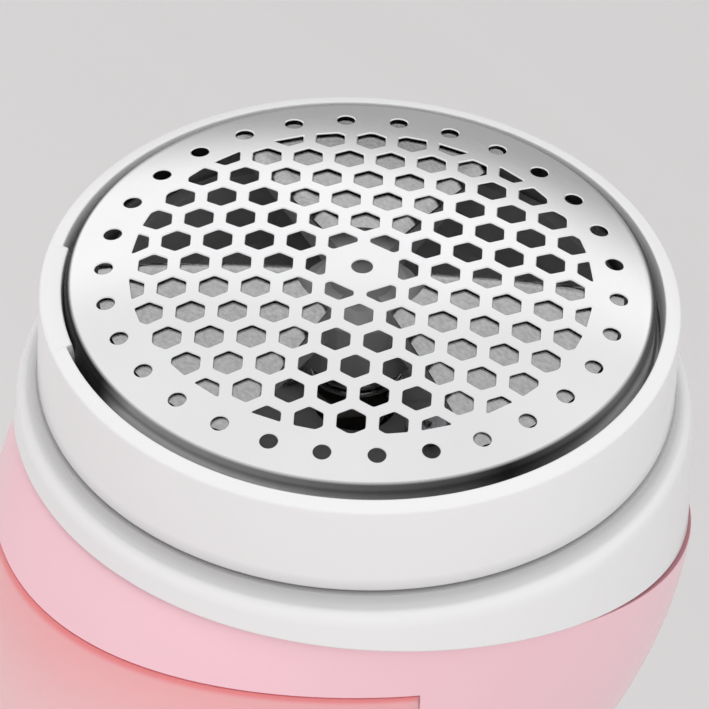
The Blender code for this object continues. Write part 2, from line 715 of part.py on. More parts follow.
def lip_ring(radius, rise):
    """A ring of points on the lip that stands up inside the collar, above the seam by the rise."""
    ring = []
    for i in range(BODY_SIDES):
        x, y, _ = polar(radius, tau * i / BODY_SIDES)
        ring.append(Vector((x, *head_to_world(y, seam_height(y) + rise))))
    return ring


def body_tube(name, mat):
    """The body's wall, with a lip at the seam and open at the base."""
    outer, inner = skin(0.0), skin(WALL)
    lip = [lip_ring(LIP_OUTER, -SEAM_GAP), lip_ring(LIP_OUTER, LIP_RISE), lip_ring(LIP_INNER, LIP_RISE)]
    rings = outer[::-1] + lip + inner
    verts = [point for ring in rings for point in ring]
    return add_object(name, verts, strips(rings + rings[:1]), mat)


def bin_line(drop, steps=6, reach=-60.0):
    """The curved parting line above the bin, from its back corner out past the front, in world (y, z)."""
    points = []
    for i in range(steps + 1):
        y = BIN_BACK_Y + (reach - BIN_BACK_Y) * i / steps
        points.append(head_to_world(y, seam_height(y) - drop))
    return points


def front_outline(grow):
    """Everything in front of the rear shell, grown by a gap."""
    back = BIN_BACK_Y + grow
    corner = head_to_world(back, BIN_FLOOR_Z)
    top = [head_to_world(back, seam_height(BIN_BACK_Y) - BIN_DROP + grow)]
    top += bin_line(BIN_DROP - grow)[1:]
    split = SPLIT_Y + grow
    elbow = (split, corner[1] + corner[0] - split)
    return [elbow] + top + [(-CUTTER_REACH, top[-1][1]), (-CUTTER_REACH, -5.0), (split, -5.0)]


def bin_outline(shrink=0.0, open_top=False):
    lift = 6.0 if open_top else 0.0
    back = BIN_BACK_Y - shrink
    top = [head_to_world(back, seam_height(BIN_BACK_Y) - BIN_DROP + lift)]
    top += bin_line(BIN_DROP - lift)[1:]
    low_front = head_to_world(-60.0, BIN_FLOOR_Z + GAP / 2 + shrink)
    low_back = head_to_world(back, BIN_FLOOR_Z + GAP / 2 + shrink)
    return top + [low_front, low_back]


def make_bin(clear):
    """The lint bin: a drawer whose outer wall carries on the body's skin, open on top to the spout."""
    drawer = body_solid("lint_bin", 0.0, clear)
    keep(drawer, prism("bin_space", bin_outline(), CUTTER_WIDTH))
    hollow = body_solid("bin_hollow", BIN_WALL)
    keep(hollow, prism("bin_hollow_space", bin_outline(BIN_WALL, open_top=True), CUTTER_WIDTH))
    return cut(drawer, hollow)


def make_bin_seal(rubber, head):
    """The rubber frame between the spout and the bin."""

    def outline(front, back, low, high):
        corners = [(front, low), (back, low), (back, high), (front, high)]
        return [(y, seam_height(y) - BIN_DROP + rise) for y, rise in corners]

    low, high = GAP, 1.6
    frame = outline(SPOUT_FRONT - 1.5, SPOUT_BACK + 0.5, low, high)
    way = outline(SPOUT_FRONT + SPOUT_WALL, SPOUT_BACK - SPOUT_WALL, low - 2.0, high + 2.0)
    seal = prism("bin_seal", frame, SPOUT_HALF_WIDTH + 1.5, rubber, head)
    return cut(seal, prism("seal_way", way, SPOUT_HALF_WIDTH - SPOUT_WALL, None, head))


def along_y(obj, x, y, z):
    """Turns a piece drawn on +Z to lie on +Y, and places it."""
    obj.rotation_euler.x = -pi / 2
    obj.location = Vector((x, y, z)) * MM
    return obj


def make_rear_shell(plastic, head):
    shell = body_tube("rear_shell", plastic)
    for i, angle in enumerate(COLLAR_SCREW_ANGLES):
        place = polar(COLLAR_SCREW_CIRCLE, angle)
        foot = seam_height(place[1]) - SEAM_GAP - 6.0
        join(shell, rod(f"neck_post_{i}", 2.1, foot, -19.3, 16, None, head, place))
        cut(shell, rod(f"neck_post_hole_{i}", 0.95, -27.0, -18.5, 10, None, head, place))
    cut(shell, prism("front_space", front_outline(GAP / 2), CUTTER_WIDTH))
    for i, (x, z) in enumerate(SHELL_SCREWS):
        reach = SHELL_BOSS_REACH[z]
        join(shell, along_y(rod(f"rear_boss_{i}", 3.3, SPLIT_Y + GAP, reach, 18), x, 0, z))
        cut(shell, along_y(rod(f"rear_hole_{i}", SHELL_SCREW_HOLE, SPLIT_Y - 1.0, 9.0, 10), x, 0, z))
        cut(shell, along_y(rod(f"rear_sink_{i}", 2.5, 8.0, 30.0, 14), x, 0, z))
    cut(shell, block("socket_window", (-5.2, 18.0, SOCKET_Z - 2.2), (5.2, 32.0, SOCKET_Z + 2.2)))
    return shell


def make_front_shell(plastic):
    shell = body_tube("front_shell", plastic)
    back = head_to_world(0, BIN_FLOOR_Z - GAP / 2)
    rise = back[1] - back[0]
    split = SPLIT_Y - GAP / 2
    front = -CUTTER_REACH
    outline = [(split, split + rise), (front, front + rise), (front, -5.0), (split, -5.0)]
    keep(shell, prism("front_region", outline, CUTTER_WIDTH))
    for i, (x, z) in enumerate(SHELL_SCREWS):
        reach = SHELL_BOSS_REACH[z]
        join(shell, along_y(rod(f"front_boss_{i}", 3.0, -reach, SPLIT_Y - GAP, 16), x, 0, z))
        cut(shell, along_y(rod(f"front_hole_{i}", SHELL_SCREW_HOLE, -9.5, SPLIT_Y + 1.0, 12), x, 0, z))
    low, high = SWITCH_Z - 4.2, SWITCH_Z + SWITCH_TRAVEL + 4.2
    cut(shell, block("switch_window", (-3.0, -30.0, low), (3.0, -10.0, high)))
    cut(shell, along_y(rod("lens_hole", 1.9, -30.0, -10.0, 16), 0, 0, LENS_Z))
    return shell


def make_base(plastic, rubber):
    edge, step, deck = BASE_RADIUS - 0.2, SHELL_BOTTOM_Z - GAP, SHELL_BOTTOM_Z - 0.2
    profile = [(0, 2.2), (20.3, 2.2), (20.3, 1.0), (edge - 1.2, 1.0), (edge, 1.8), (edge, step)]
    profile += [(23.6, step), (23.2, 6.5), (21.6, 6.5), (21.6, deck), (0, deck)]
    turned("base_cap", profile, 32, plastic, loop=False)
    pad = [(0, 0), (19.4, 0), (20.0, 0.6), (20.0, 1.9), (0, 1.9)]
    turned("foot_pad", pad, 32, rubber, loop=False)


# ---- electrics and fasteners -----------------------------------------------------------------------------


def make_electrics(colours):
    low, top, steel = BATTERY_BOTTOM, BATTERY_BOTTOM + BATTERY_LENGTH, colours["steel"]
    cell = [(0, low), (8.6, low), (BATTERY_RADIUS, low + 0.5), (BATTERY_RADIUS, top - 1.4)]
    cell += [(8.7, top - 0.9), (3.0, top - 0.9), (3.0, top), (0, top)]
    turned("battery_cell", cell, 24, colours["blue"], place=(0, BATTERY_Y, 0), loop=False)
    tab = (0, BATTERY_Y, 0)
    sheet = 0.3
    high = top + GAP + sheet
    block("battery_tab_top", (-2.0, -3.0, top + GAP), (2.0, 5.0, high), steel, place=tab)
    deep = low - GAP - sheet
    block("battery_tab_bottom", (-3.0, -4.0, deep), (3.0, 6.0, low - GAP), steel, place=tab)
    board = block("charging_board", (-8.0, BOARD_Y, 8.0), (8.0, BOARD_Y + 1.2, 44.0), colours["green"])
    join(board, block("charge_chip", (-2.5, BOARD_Y - 1.0, 24.0), (2.5, BOARD_Y + 0.5, 29.0)))
    join(board, block("charge_coil", (-3.0, BOARD_Y - 2.2, 33.0), (3.0, BOARD_Y + 0.5, 39.0)))

    def socket_block(name, half_width, from_y, to_y, half_height, mat=None):
        low = (-half_width, socket_y + from_y, SOCKET_Z - half_height)
        return block(name, low, (half_width, socket_y + to_y, SOCKET_Z + half_height), mat)

    socket_y = BOARD_Y + 1.2 + GAP
    socket = socket_block("charging_socket", 4.5, 0.0, 7.2, 1.6, steel)
    cut(socket, socket_block("socket_mouth", 4.1, 1.0, 9.0, 1.2))
    join(socket, socket_block("socket_tongue", 3.3, 0.5, 6.0, 0.35))
    low, high = SWITCH_Z - 5.5, SWITCH_Z + SWITCH_TRAVEL + 5.5
    block("switch_body", (-4.0, -16.6, low), (4.0, -12.4, high), colours["dark"])
    profile = [(0, 15.0), (1.6, 15.0), (1.6, 21.6), (1.2, 22.0), (0, 22.0)]
    lens = turned("indicator_lens", profile, 16, colours["lens"], place=(0, 0, LENS_Z), loop=False)
    lens.rotation_euler.x = pi / 2


def make_switch_slider(plastic):
    """The thumb slider: a ribbed pad that hugs the handle, with a stem through the window."""
    sides = (radians(-108), radians(-72))
    pad = sector("switch_slider", (21.2, 22.9), sides, (-7.0, 7.0), 6, plastic)
    pad.location.z = SWITCH_Z * MM
    join(pad, block("slider_stem", (-2.4, -21.8, -3.4), (2.4, -17.1, 3.4), None, pad))
    sides = (radians(-103), radians(-77))
    for i in range(3):
        middle = (i - 1) * 3.2
        join(pad, sector(f"slider_rib_{i}", (22.4, 23.7), sides, (middle - 0.6, middle + 0.6), 4, None, pad))


def make_shell_screws(steel):
    profile = [(0, -7.5), (1.0, -7.0), (1.0, 8.3), (2.1, 8.3), (2.1, 9.4), (1.5, 9.9), (0, 9.9)]
    for i, (x, z) in enumerate(SHELL_SCREWS):
        screw = along_y(turned(f"shell_screw_{i + 1}", profile, 12, steel, loop=False), x, 0, z)
        cut(screw, along_y(block(f"drive_slot_{i}", (-1.6, -0.3, 9.3), (1.6, 0.3, 11.0)), x, 0, z))


def make_wires(red, black):
    top = BATTERY_BOTTOM + BATTERY_LENGTH
    thick = 0.6
    motor_y, motor_z = head_to_world(0, MOTOR_FACE_Z - MOTOR_LENGTH - 4.0)
    path = [(0.5, -5.2, top + 1.4), (2, -10.0, 80.0), (1.5, -12.4, 70.0), (1, -13.6, 58.2)]
    wire("wire_battery_switch", path, thick, red)
    path = [(-3, -14.5, 58.2), (-6, -12.5, 72), (-9, 0, 86), (-4, motor_y, motor_z - 3)]
    wire("wire_switch_motor", path, thick, red)
    path = [(6, 10.2, 40.0), (7, 11.5, 62), (8, 10, 85), (4, motor_y + 2, motor_z - 1)]
    wire("wire_battery_motor", path, thick, black)
    path = [(0, 14.0, 10.0), (0, 12.0, 8.0), (0, 9.5, 8.0), (0, 6.5, 8.6)]
    wire("wire_board_battery", path, 0.5, black)


def build():
    for obj in list(bpy.data.objects):
        bpy.data.objects.remove(obj)
    white = material("white_plastic", (0.86, 0.86, 0.87), 0.25)
    pink = material("pale_pink_plastic", (0.92, 0.55, 0.62), 0.3)
    coral = material("coral_clear_plastic", (0.95, 0.28, 0.27), 0.2)
    grey = material("grey_plastic", (0.25, 0.25, 0.26), 0.45)
    dark = material("dark_plastic", (0.03, 0.03, 0.035), 0.5)
    rubber = material("rubber", (0.12, 0.12, 0.13), 0.8)
    steel = material("steel", (0.7, 0.7, 0.72), 0.25, 1.0)
    foil_steel = material("foil_steel", (0.82, 0.82, 0.83), 0.2, 1.0)
    spring_steel = material("spring_steel", (0.45, 0.45, 0.46), 0.35, 1.0)
    brass = material("brass", (0.7, 0.5, 0.2), 0.3, 1.0)
    colours = {
        "blue": material("cell_sleeve", (0.05, 0.2, 0.5), 0.4),
        "green": material("circuit_board", (0.02, 0.2, 0.08), 0.5),
        "lens": material("lens", (0.95, 0.9, 0.85), 0.2),
        "dark": dark,
        "steel": steel,
    }
    head = bpy.data.objects.new("head_frame", None)
    head.location = (0, HEAD_Y * MM, HEAD_Z * MM)
    head.rotation_euler.x = HEAD_TILT
    bpy.context.scene.collection.objects.link(head)

    make_foil(foil_steel, head)
    make_head_ring(white, head)
    make_foil_retainer(grey, head)
    make_collar(white, head)
    make_chamber(grey, head)
    make_blades(steel, grey, head)
    make_drive(brass, spring_steel, head)
    make_interlock(white, dark, spring_steel, head)
    make_motor(steel, dark, brass, rubber, grey, head)
    make_collar_screws(steel, head)
    make_rear_shell(pink, head)
    make_front_shell(pink)
    make_bin(coral)
    make_bin_seal(rubber, head)
    make_base(white, rubber)
    make_electrics(colours)
    make_switch_slider(white)
    make_shell_screws(steel)
    red = material("red_wire", (0.5, 0.02, 0.02), 0.5)
    make_wires(red, material("black_wire", (0.02, 0.02, 0.02), 0.5))


build()
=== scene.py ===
"""The finished look of the fabric shaver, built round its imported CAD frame.

Lengths are in millimetres in the script and become metres as each mesh is made. Head parts are drawn in the
head frame: its origin is the top of the foil, +Z is the cutter's axis and -Y points to the lint bin's side.
Each outside piece, the blades and their spring are rebuilt here with fine meshes and stand for their CAD
nodes. The other pieces inside keep their CAD shape, with softened edges and procedural materials.
"""

import json
from math import atan2, cos, hypot, pi, radians, sin, sqrt, tau

import bmesh
import bpy
from mathutils import Matrix, Vector
from mathutils.geometry import delaunay_2d_cdt


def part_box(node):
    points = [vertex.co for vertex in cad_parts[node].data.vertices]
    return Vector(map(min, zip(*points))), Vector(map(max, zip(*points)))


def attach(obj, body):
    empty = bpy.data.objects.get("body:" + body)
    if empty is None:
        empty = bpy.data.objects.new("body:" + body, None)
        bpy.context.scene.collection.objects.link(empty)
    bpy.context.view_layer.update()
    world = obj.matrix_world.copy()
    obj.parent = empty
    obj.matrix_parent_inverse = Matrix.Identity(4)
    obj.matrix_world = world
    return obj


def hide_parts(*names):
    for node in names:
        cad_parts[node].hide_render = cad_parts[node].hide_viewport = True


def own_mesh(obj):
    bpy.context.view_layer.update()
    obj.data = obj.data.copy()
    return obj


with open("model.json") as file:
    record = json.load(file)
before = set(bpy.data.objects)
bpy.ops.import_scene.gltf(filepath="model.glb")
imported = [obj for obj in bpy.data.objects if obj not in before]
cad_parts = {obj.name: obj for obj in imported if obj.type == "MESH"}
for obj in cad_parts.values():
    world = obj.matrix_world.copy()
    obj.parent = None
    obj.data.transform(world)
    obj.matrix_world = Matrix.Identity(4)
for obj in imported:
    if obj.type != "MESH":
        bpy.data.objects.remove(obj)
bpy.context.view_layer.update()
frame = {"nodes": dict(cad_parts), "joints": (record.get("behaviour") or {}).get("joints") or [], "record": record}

MM = 0.001
JOINTS = {joint["name"]: joint for joint in frame["joints"]}
HEAD_AT = Vector(JOINTS["ring_twist"]["pos_m"]) / MM
HEAD_UP = Vector(JOINTS["ring_twist"]["axis"])
HEAD_BACK = HEAD_UP.cross(Vector((1, 0, 0)))
HEAD = Matrix.Translation(HEAD_AT) @ Matrix((Vector((1, 0, 0)), HEAD_BACK, HEAD_UP)).transposed().to_4x4()


def box_mm(node):
    low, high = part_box(node)
    return low / MM, high / MM


def middle_mm(node, axis):
    """The middle of a CAD node's box along one axis (0, 1 or 2)."""
    return sum(corner[axis] for corner in box_mm(node)) / 2


# Foil
HOLE_PITCH = 4.0
HEX_ACROSS_FLATS = 2.7
HEX_FIELD_RADIUS = 22.2
BLANK_RADIUS = 3.75
CENTRE_HOLE_RADIUS = 1.0
ROUND_HOLE_COUNT = 30
ROUND_HOLE_RADIUS = 0.85
ROUND_HOLE_CIRCLE = 24.7
FOIL_TURN = radians(49.3)
ROUND_HOLE_TURN = radians(145.4)
SMALLEST_HOLE_AREA = 1.0
FOIL_THICKNESS = 0.22
FOIL_FLANGE_RADIUS = box_mm("shaving_foil")[1].x
FOIL_SHOULDER = 0.95
FOIL_FLANGE_WIDTH = 1.4
FOIL_EDGE_RADIUS = FOIL_FLANGE_RADIUS - FOIL_FLANGE_WIDTH - FOIL_SHOULDER
FOIL_FLANGE_Z = -7.0
DOME_SQUARE = 0.0031225
DOME_FOURTH = 8.28e-7
HOLE_ROLL = 0.14
HOLE_CORNER = 0.22
DOME_GRID = 0.8

# Ring and collar
RIM_OUTER_RADIUS = box_mm("head_ring")[1].x
RIM_INNER_RADIUS = RIM_OUTER_RADIUS - 1.5
RIM_INNER_Z = -3.7
RIM_OUTER_Z = -4.2
RING_LEAN = 0.35
RING_BORE = 30.1
RING_BOTTOM_Z = -14.0
TAB_FROM = radians(220)
TAB_TO = radians(249.5)
TAB_DEPTH = 0.6
DECK_Z = -14.3
GROOVE_Z = -15.4
SHOULDER_Z = -17.2
COLLAR_BORE = 27.3
COLLAR_INSIDE = 31.9
SEAM_RADIUS = box_mm("head_collar")[1].x
COLLAR_RADIUS = SEAM_RADIUS - 0.3
SEAM_MID = -22.4
SEAM_SLOPE = 0.205
SEAM_BOW = 0.0029
SEAM_GAP = 0.28

# Blades
BLADE_COUNT = 3
BLADE_INNER = 6.3
BLADE_OUTER = 25.2
BLADE_HALF_ANGLE = radians(33)
BLADE_TOP_DROP = 0.36
BLADE_THICKNESS = 0.5
BLADE_TURN = radians(140)
GROUND_DEPTH, GROUND_WIDTH = 0.22, 0.55
RIDGE_HEIGHT, RIDGE_INSET, RIDGE_HALF_WIDTH = 0.10, 1.2, 0.9

# Spring under the blades, by the middle of its wire
SPRING_RADIUS = 4.4
SPRING_WIRE = 0.32
SPRING_LOW = -13.3
SPRING_HIGH = -10.5
SPRING_TURNS = 3

# Body
WALL = 2.0
NECK_RADIUS = box_mm("rear_shell")[1].x
NECK_EGG = 0.03
LIP_OUTER, LIP_INNER, LIP_RISE = 31.6, 30.9, 1.3
TOP_ROLL = 0.3
BIN_DROP = 6.3
BIN_BACK_Y = -14.5
BIN_FLOOR_Z = -52.0
BIN_WALL = 1.6
GAP = 0.3
SPLIT_Y = (HEAD @ Vector((0, BIN_BACK_Y, BIN_FLOOR_Z))).y
GRIP_Z = 50.0
GRIP_RADIUS = 20.5
SHELL_BOTTOM_Z = box_mm("rear_shell")[0].z
BASE_RADIUS = 26.0
SWITCH_Z = middle_mm("switch_slider", 2)
SWITCH_TRAVEL = JOINTS["switch_slide"]["range_m"][1] / MM
LENS_Z = middle_mm("indicator_lens", 2)
SOCKET_Z = middle_mm("charging_socket", 2)
SCREW_PLACES = [tuple(middle_mm(f"shell_screw_{i + 1}", axis) for axis in (0, 2)) for i in range(4)]
BOSS_RADIUS, SCREW_HOLE_RADIUS, SINK_RADIUS = 3.3, 1.3, 2.5
BEYOND = 60.0
FAR_FRONT_Y, BELOW_ALL_Z = -90.0, -5.0

# Light and stage. A slope of the sky's tone is (share, from, to, tone at from, tone at to), read along a
# direction's X * share + Y.
EVEN_LIGHT = 0.82
SKY_BAND = (-0.737, 0.22, 0.34, 0.85, 1.01)
SKY_DIM = (-0.35, 0.30, 0.47, 1.0, 0.385)
STAGE_RADIUS = 6000.0
STAGE_RISE = 1500.0
STAGE_DROP = 0.02
LAMPS = (
    ("key", (100, -660, 880), 700, 1.0),
    ("fill", (560, -640, 300), 600, 1.4),
    ("side", (-800, -300, 200), 700, 0.7),
)

# Fineness of the meshes, and the angle in degrees from which an edge is drawn sharp
SHARP = 38
TURN_SIDES = 240
BODY_SIDES = 144
BODY_STATIONS = 46
GRIP_STATIONS = 18


# ---- node materials ------------------------------------------------------------------------------


class Nodes:
    """A short way to write a node tree: each call adds a node and returns it."""

    def __init__(self, name, kind=bpy.data.materials):
        self.owner = kind.new(name)
        self.owner.use_nodes = True
        self.tree = self.owner.node_tree
        self.shader = self.tree.nodes.get("Principled BSDF")

    def add(self, kind, settings=None, **inputs):
        node = self.tree.nodes.new(kind)
        for key, value in (settings or {}).items():
            setattr(node, key, value)
        for key, value in inputs.items():
            self.feed(node.inputs[key.replace("_", " ")], value)
        return node

    def feed(self, socket, value):
        if isinstance(value, bpy.types.NodeSocket):
            self.tree.links.new(value, socket)
        else:
            socket.default_value = value

    def maths(self, operation, first, second=0.0, third=None):
        node = self.tree.nodes.new("ShaderNodeMath")
        node.operation = operation
        values = (first, second) if third is None else (first, second, third)
        for socket, value in zip(node.inputs, values):
            self.feed(socket, value)
        return node.outputs[0]

    def noise(self, scale, detail=3.0, stretch=(1, 1, 1)):
        where = self.add("ShaderNodeTexCoord").outputs["Object"]
        if tuple(stretch) != (1, 1, 1):
            where = self.add("ShaderNodeMapping", Vector=where, Scale=stretch).outputs[0]
        return self.add("ShaderNodeTexNoise", Vector=where, Scale=scale, Detail=detail).outputs["Fac"]

    def spread(self, value, low, high, from_low=0.3, from_high=0.7):
        node = self.add("ShaderNodeMapRange")
        names = ("Value", "From Min", "From Max", "To Min", "To Max")
        for key, number in zip(names, (value, from_low, from_high, low, high)):
            self.feed(node.inputs[key], number)
        return node.outputs[0]

    def blend(self, factor, first, second):
        node = self.add("ShaderNodeMix", {"data_type": "RGBA"})
        for socket, value in ((node.inputs[0], factor), (node.inputs[6], first), (node.inputs[7], second)):
            self.feed(socket, (*value, 1.0) if isinstance(value, tuple) and len(value) == 3 else value)
        return node.outputs[2]

    def bump(self, height, distance, strength=1.0, normal=None):
        node = self.add("ShaderNodeBump", Height=height, Distance=distance, Strength=strength)
        if normal:
            self.feed(node.inputs["Normal"], normal)
        return node.outputs[0]

    def set(self, **inputs):
        for key, value in inputs.items():
            socket = self.shader.inputs[key.replace("_", " ")]
            self.feed(socket, (*value, 1.0) if isinstance(value, tuple) and socket.type == "RGBA" else value)
        return self.owner


def painted_seam_shade(n, tone):
    """Paints shade in a deep rose on the neck's top edge, which lies in the gap under the collar."""
    edge = n.spread(under_seam(n, SEAM_GAP), 1.0, 0.0, 0.0, 0.12)
    return n.blend(edge, tone, (0.42, 0.17, 0.20))


def head_radius(n, x, y):
    return n.maths("SQRT", n.maths("ADD", n.maths("MULTIPLY", x, x), n.maths("MULTIPLY", y, y)))


def painted_groove_shade(n, tone):
    """Paints grey shade into the hollow between the ring's foot and the collar's shoulder, darkest under the ring.
    """
    x, y, z = head_place(n)
    radius = head_radius(n, x, y)
    crest = COLLAR_RADIUS - 0.65
    on_collar = n.spread(z, 1.0, 0.0, DECK_Z + 0.1, DECK_Z + 0.2)
    hollow = n.spread(radius, 1.0, 0.1, RIM_OUTER_RADIUS + 0.1, crest)
    hollow = n.maths("MULTIPLY", hollow, n.spread(radius, 1.0, 0.0, crest, COLLAR_RADIUS - 0.3))
    foot = n.spread(z, 0.55, 0.0, RING_BOTTOM_Z, RING_BOTTOM_Z + 1.6)
    foot = n.maths("MULTIPLY", foot, n.maths("SUBTRACT", 1.0, on_collar))
    shade = n.maths("MAXIMUM", n.maths("MULTIPLY", hollow, on_collar), foot)
    return n.blend(shade, tone, (0.50, 0.50, 0.505))


def scaled(colour, factor):
    return tuple(min(1.0, channel * factor) for channel in colour)


def plastic(name, colour, rough, texture=0.00001, edge=0.00025, shade=None, **more):
    """Moulded plastic: faint cloudy colour, uneven gloss, a fine surface texture and soft edges."""
    n = Nodes(name)
    cloud = n.spread(n.noise(30.0, 2.0), 0.0, 1.0)
    tone = n.blend(cloud, scaled(colour, 0.985), scaled(colour, 1.01))
    # A given shade function paints shade into the colour.
    if shade:
        tone = shade(n, tone)
    soft = n.add("ShaderNodeBevel", {"samples": 4}, Radius=edge).outputs[0] if edge else None
    return n.set(
        Base_Color=tone,
        Roughness=n.spread(n.noise(300.0, 2.0), rough * 0.96, rough * 1.05, 0.2, 0.8),
        Normal=n.bump(n.noise(2600.0, 2.0), texture, 0.5, soft),
        **more,
    )


def metal(name, colour, rough, stretch=(1, 1, 1), grain=900.0, texture=0.000004, contrast=0.05):
    """Worked metal: grain drawn along one direction, small changes of tone and uneven polish."""
    n = Nodes(name)
    lines = n.noise(grain, 4.0, stretch)
    tone = n.blend(n.spread(lines, 0.0, 1.0), scaled(colour, 1 - contrast), scaled(colour, 1 + contrast))
    return n.set(
        Base_Color=tone,
        Metallic=1.0,
        Roughness=n.spread(lines, rough * 0.75, rough * 1.3),
        Normal=n.bump(lines, texture, 0.4),
    )


def head_place(n):
    """Node values: a point's X, Y and Z in the head frame, in millimetres."""
    where = n.add("ShaderNodeTexCoord").outputs["Object"]
    moved = n.tree.nodes.new("ShaderNodeVectorMath")
    moved.operation = "SUBTRACT"
    n.feed(moved.inputs[0], where)
    n.feed(moved.inputs[1], HEAD_AT * MM)
    values = []
    for axis in (Vector((1, 0, 0)), HEAD_BACK, HEAD_UP):
        along = n.tree.nodes.new("ShaderNodeVectorMath")
        along.operation = "DOT_PRODUCT"
        n.feed(along.inputs[0], moved.outputs[0])
        n.feed(along.inputs[1], axis / MM)
        values.append(along.outputs["Value"])
    return values


def foil_metal():
    """Polished foil with a faint rolling grain. Its drawn wall has painted dark reflections and shade that change
    round it, and is painted lighter at its foot.
    """
    n = Nodes("foil_steel")
    grain = n.noise(700.0, 4.0, (1.0, 9.0, 9.0))
    patches = n.noise(70.0, 3.0)
    x, y, z = head_place(n)
    radius = head_radius(n, x, y)
    # Where the wall's painted reflections and shade begin.
    wall = n.spread(radius, 0.0, 1.0, FOIL_EDGE_RADIUS + 0.3, FOIL_EDGE_RADIUS + 0.65)
    angle = n.maths("MULTIPLY_ADD", n.maths("ARCTAN2", y, x), 1 / tau, 0.5)
    # Painted reflections and shade on the wall, near black to mid grey round it.
    painted_reflection_ramp = n.add("ShaderNodeValToRGB", Fac=angle)
    stops = painted_reflection_ramp.color_ramp.elements
    tones = (
        (0.0, 0.04), (0.1, 0.018), (0.228, 0.018), (0.255, 0.30), (0.30, 0.26), (0.39, 0.14),
        (0.45, 0.08), (0.475, 0.02), (0.52, 0.10), (0.56, 0.20), (0.63, 0.12), (0.7, 0.05),
    )
    for place, _ in tones[2:]:
        stops.new(place)
    for stop, (place, tone) in zip(stops, tones):
        stop.position, stop.color = place, (tone, tone, tone, 1.0)
    tone = n.blend(n.spread(patches, 0.0, 1.0), (0.90, 0.90, 0.91), (0.95, 0.95, 0.955))
    # Painted light: the wall's foot, in the ring's shade, is painted up to seven times lighter.
    depth = n.spread(z, 7.0, 1.0, FOIL_FLANGE_Z + 1.9, FOIL_FLANGE_Z + 3.4)
    painted_wall_reflection = n.maths("MINIMUM", n.maths("MULTIPLY", painted_reflection_ramp.outputs["Color"], depth), 0.9)
    return n.set(
        Base_Color=n.blend(wall, tone, painted_wall_reflection),
        Metallic=1.0,
        Roughness=n.maths("ADD", n.spread(grain, 0.12, 0.18), n.maths("MULTIPLY", wall, 0.3)),
        Normal=n.bump(grain, 0.0000015, 0.3),
    )


def under_seam(n, drop):
    """Node value: how far a point lies under the collar's lower edge, less a drop, in millimetres."""
    _, y, z = head_place(n)
    bow = n.maths("MULTIPLY", n.maths("MULTIPLY", y, y), SEAM_BOW)
    line = n.maths("SUBTRACT", SEAM_MID - drop, n.maths("ADD", n.maths("MULTIPLY", y, SEAM_SLOPE), bow))
    return n.maths("SUBTRACT", line, z)


def bin_plastic():
    """Tinted, slightly clear plastic. Its edge is painted a deeper colour, standing in for the light a clear sheet
    gathers seen edge on; the colour is painted lighter away from the edge.
    """
    n = Nodes("coral_plastic")
    depth = under_seam(n, BIN_DROP)
    painted_edge_mask = n.spread(depth, 1.0, 0.0, 0.25, 0.75)
    fade = n.spread(depth, 0.0, 1.0, 0.8, 9.0)
    body = n.blend(fade, (0.98, 0.44, 0.46), (0.98, 0.58, 0.60))
    soft = n.add("ShaderNodeBevel", {"samples": 4}, Radius=0.0003).outputs[0]
    return n.set(
        Base_Color=n.blend(painted_edge_mask, body, (0.96, 0.24, 0.25)),
        Roughness=n.spread(n.noise(220.0, 4.0), 0.10, 0.18),
        Subsurface_Weight=0.35,
        Subsurface_Radius=(0.004, 0.0012, 0.0012),
        Subsurface_Scale=1.0,
        Coat_Weight=0.4,
        Coat_Roughness=0.05,
        Normal=n.bump(n.noise(1800.0, 2.0), 0.000006, 0.4, soft),
    )


def rubber_look(name, colour):
    n = Nodes(name)
    dust = n.noise(420.0, 5.0)
    return n.set(
        Base_Color=n.blend(n.spread(dust, 0.0, 1.0), colour, scaled(colour, 1.6)),
        Roughness=n.spread(dust, 0.62, 0.85),
        Normal=n.bump(n.noise(2400.0, 3.0), 0.00003, 0.6),
    )


def board_look():
    n = Nodes("circuit_board")
    where = n.add("ShaderNodeTexCoord").outputs["Object"]
    turned = n.add("ShaderNodeMapping", Vector=where, Rotation=(pi / 2, 0, 0)).outputs[0]
    greens = {"Color1": (0.012, 0.16, 0.06, 1), "Color2": (0.018, 0.22, 0.09, 1)}
    mortar = (0.03, 0.32, 0.14, 1)
    tracks = n.add("ShaderNodeTexBrick", Vector=turned, Scale=160.0, Mortar=mortar, **greens)
    return n.set(
        Base_Color=tracks.outputs["Color"],
        Roughness=n.spread(n.noise(300.0), 0.3, 0.5),
        Normal=n.bump(tracks.outputs["Fac"], 0.00003, 0.5),
    )


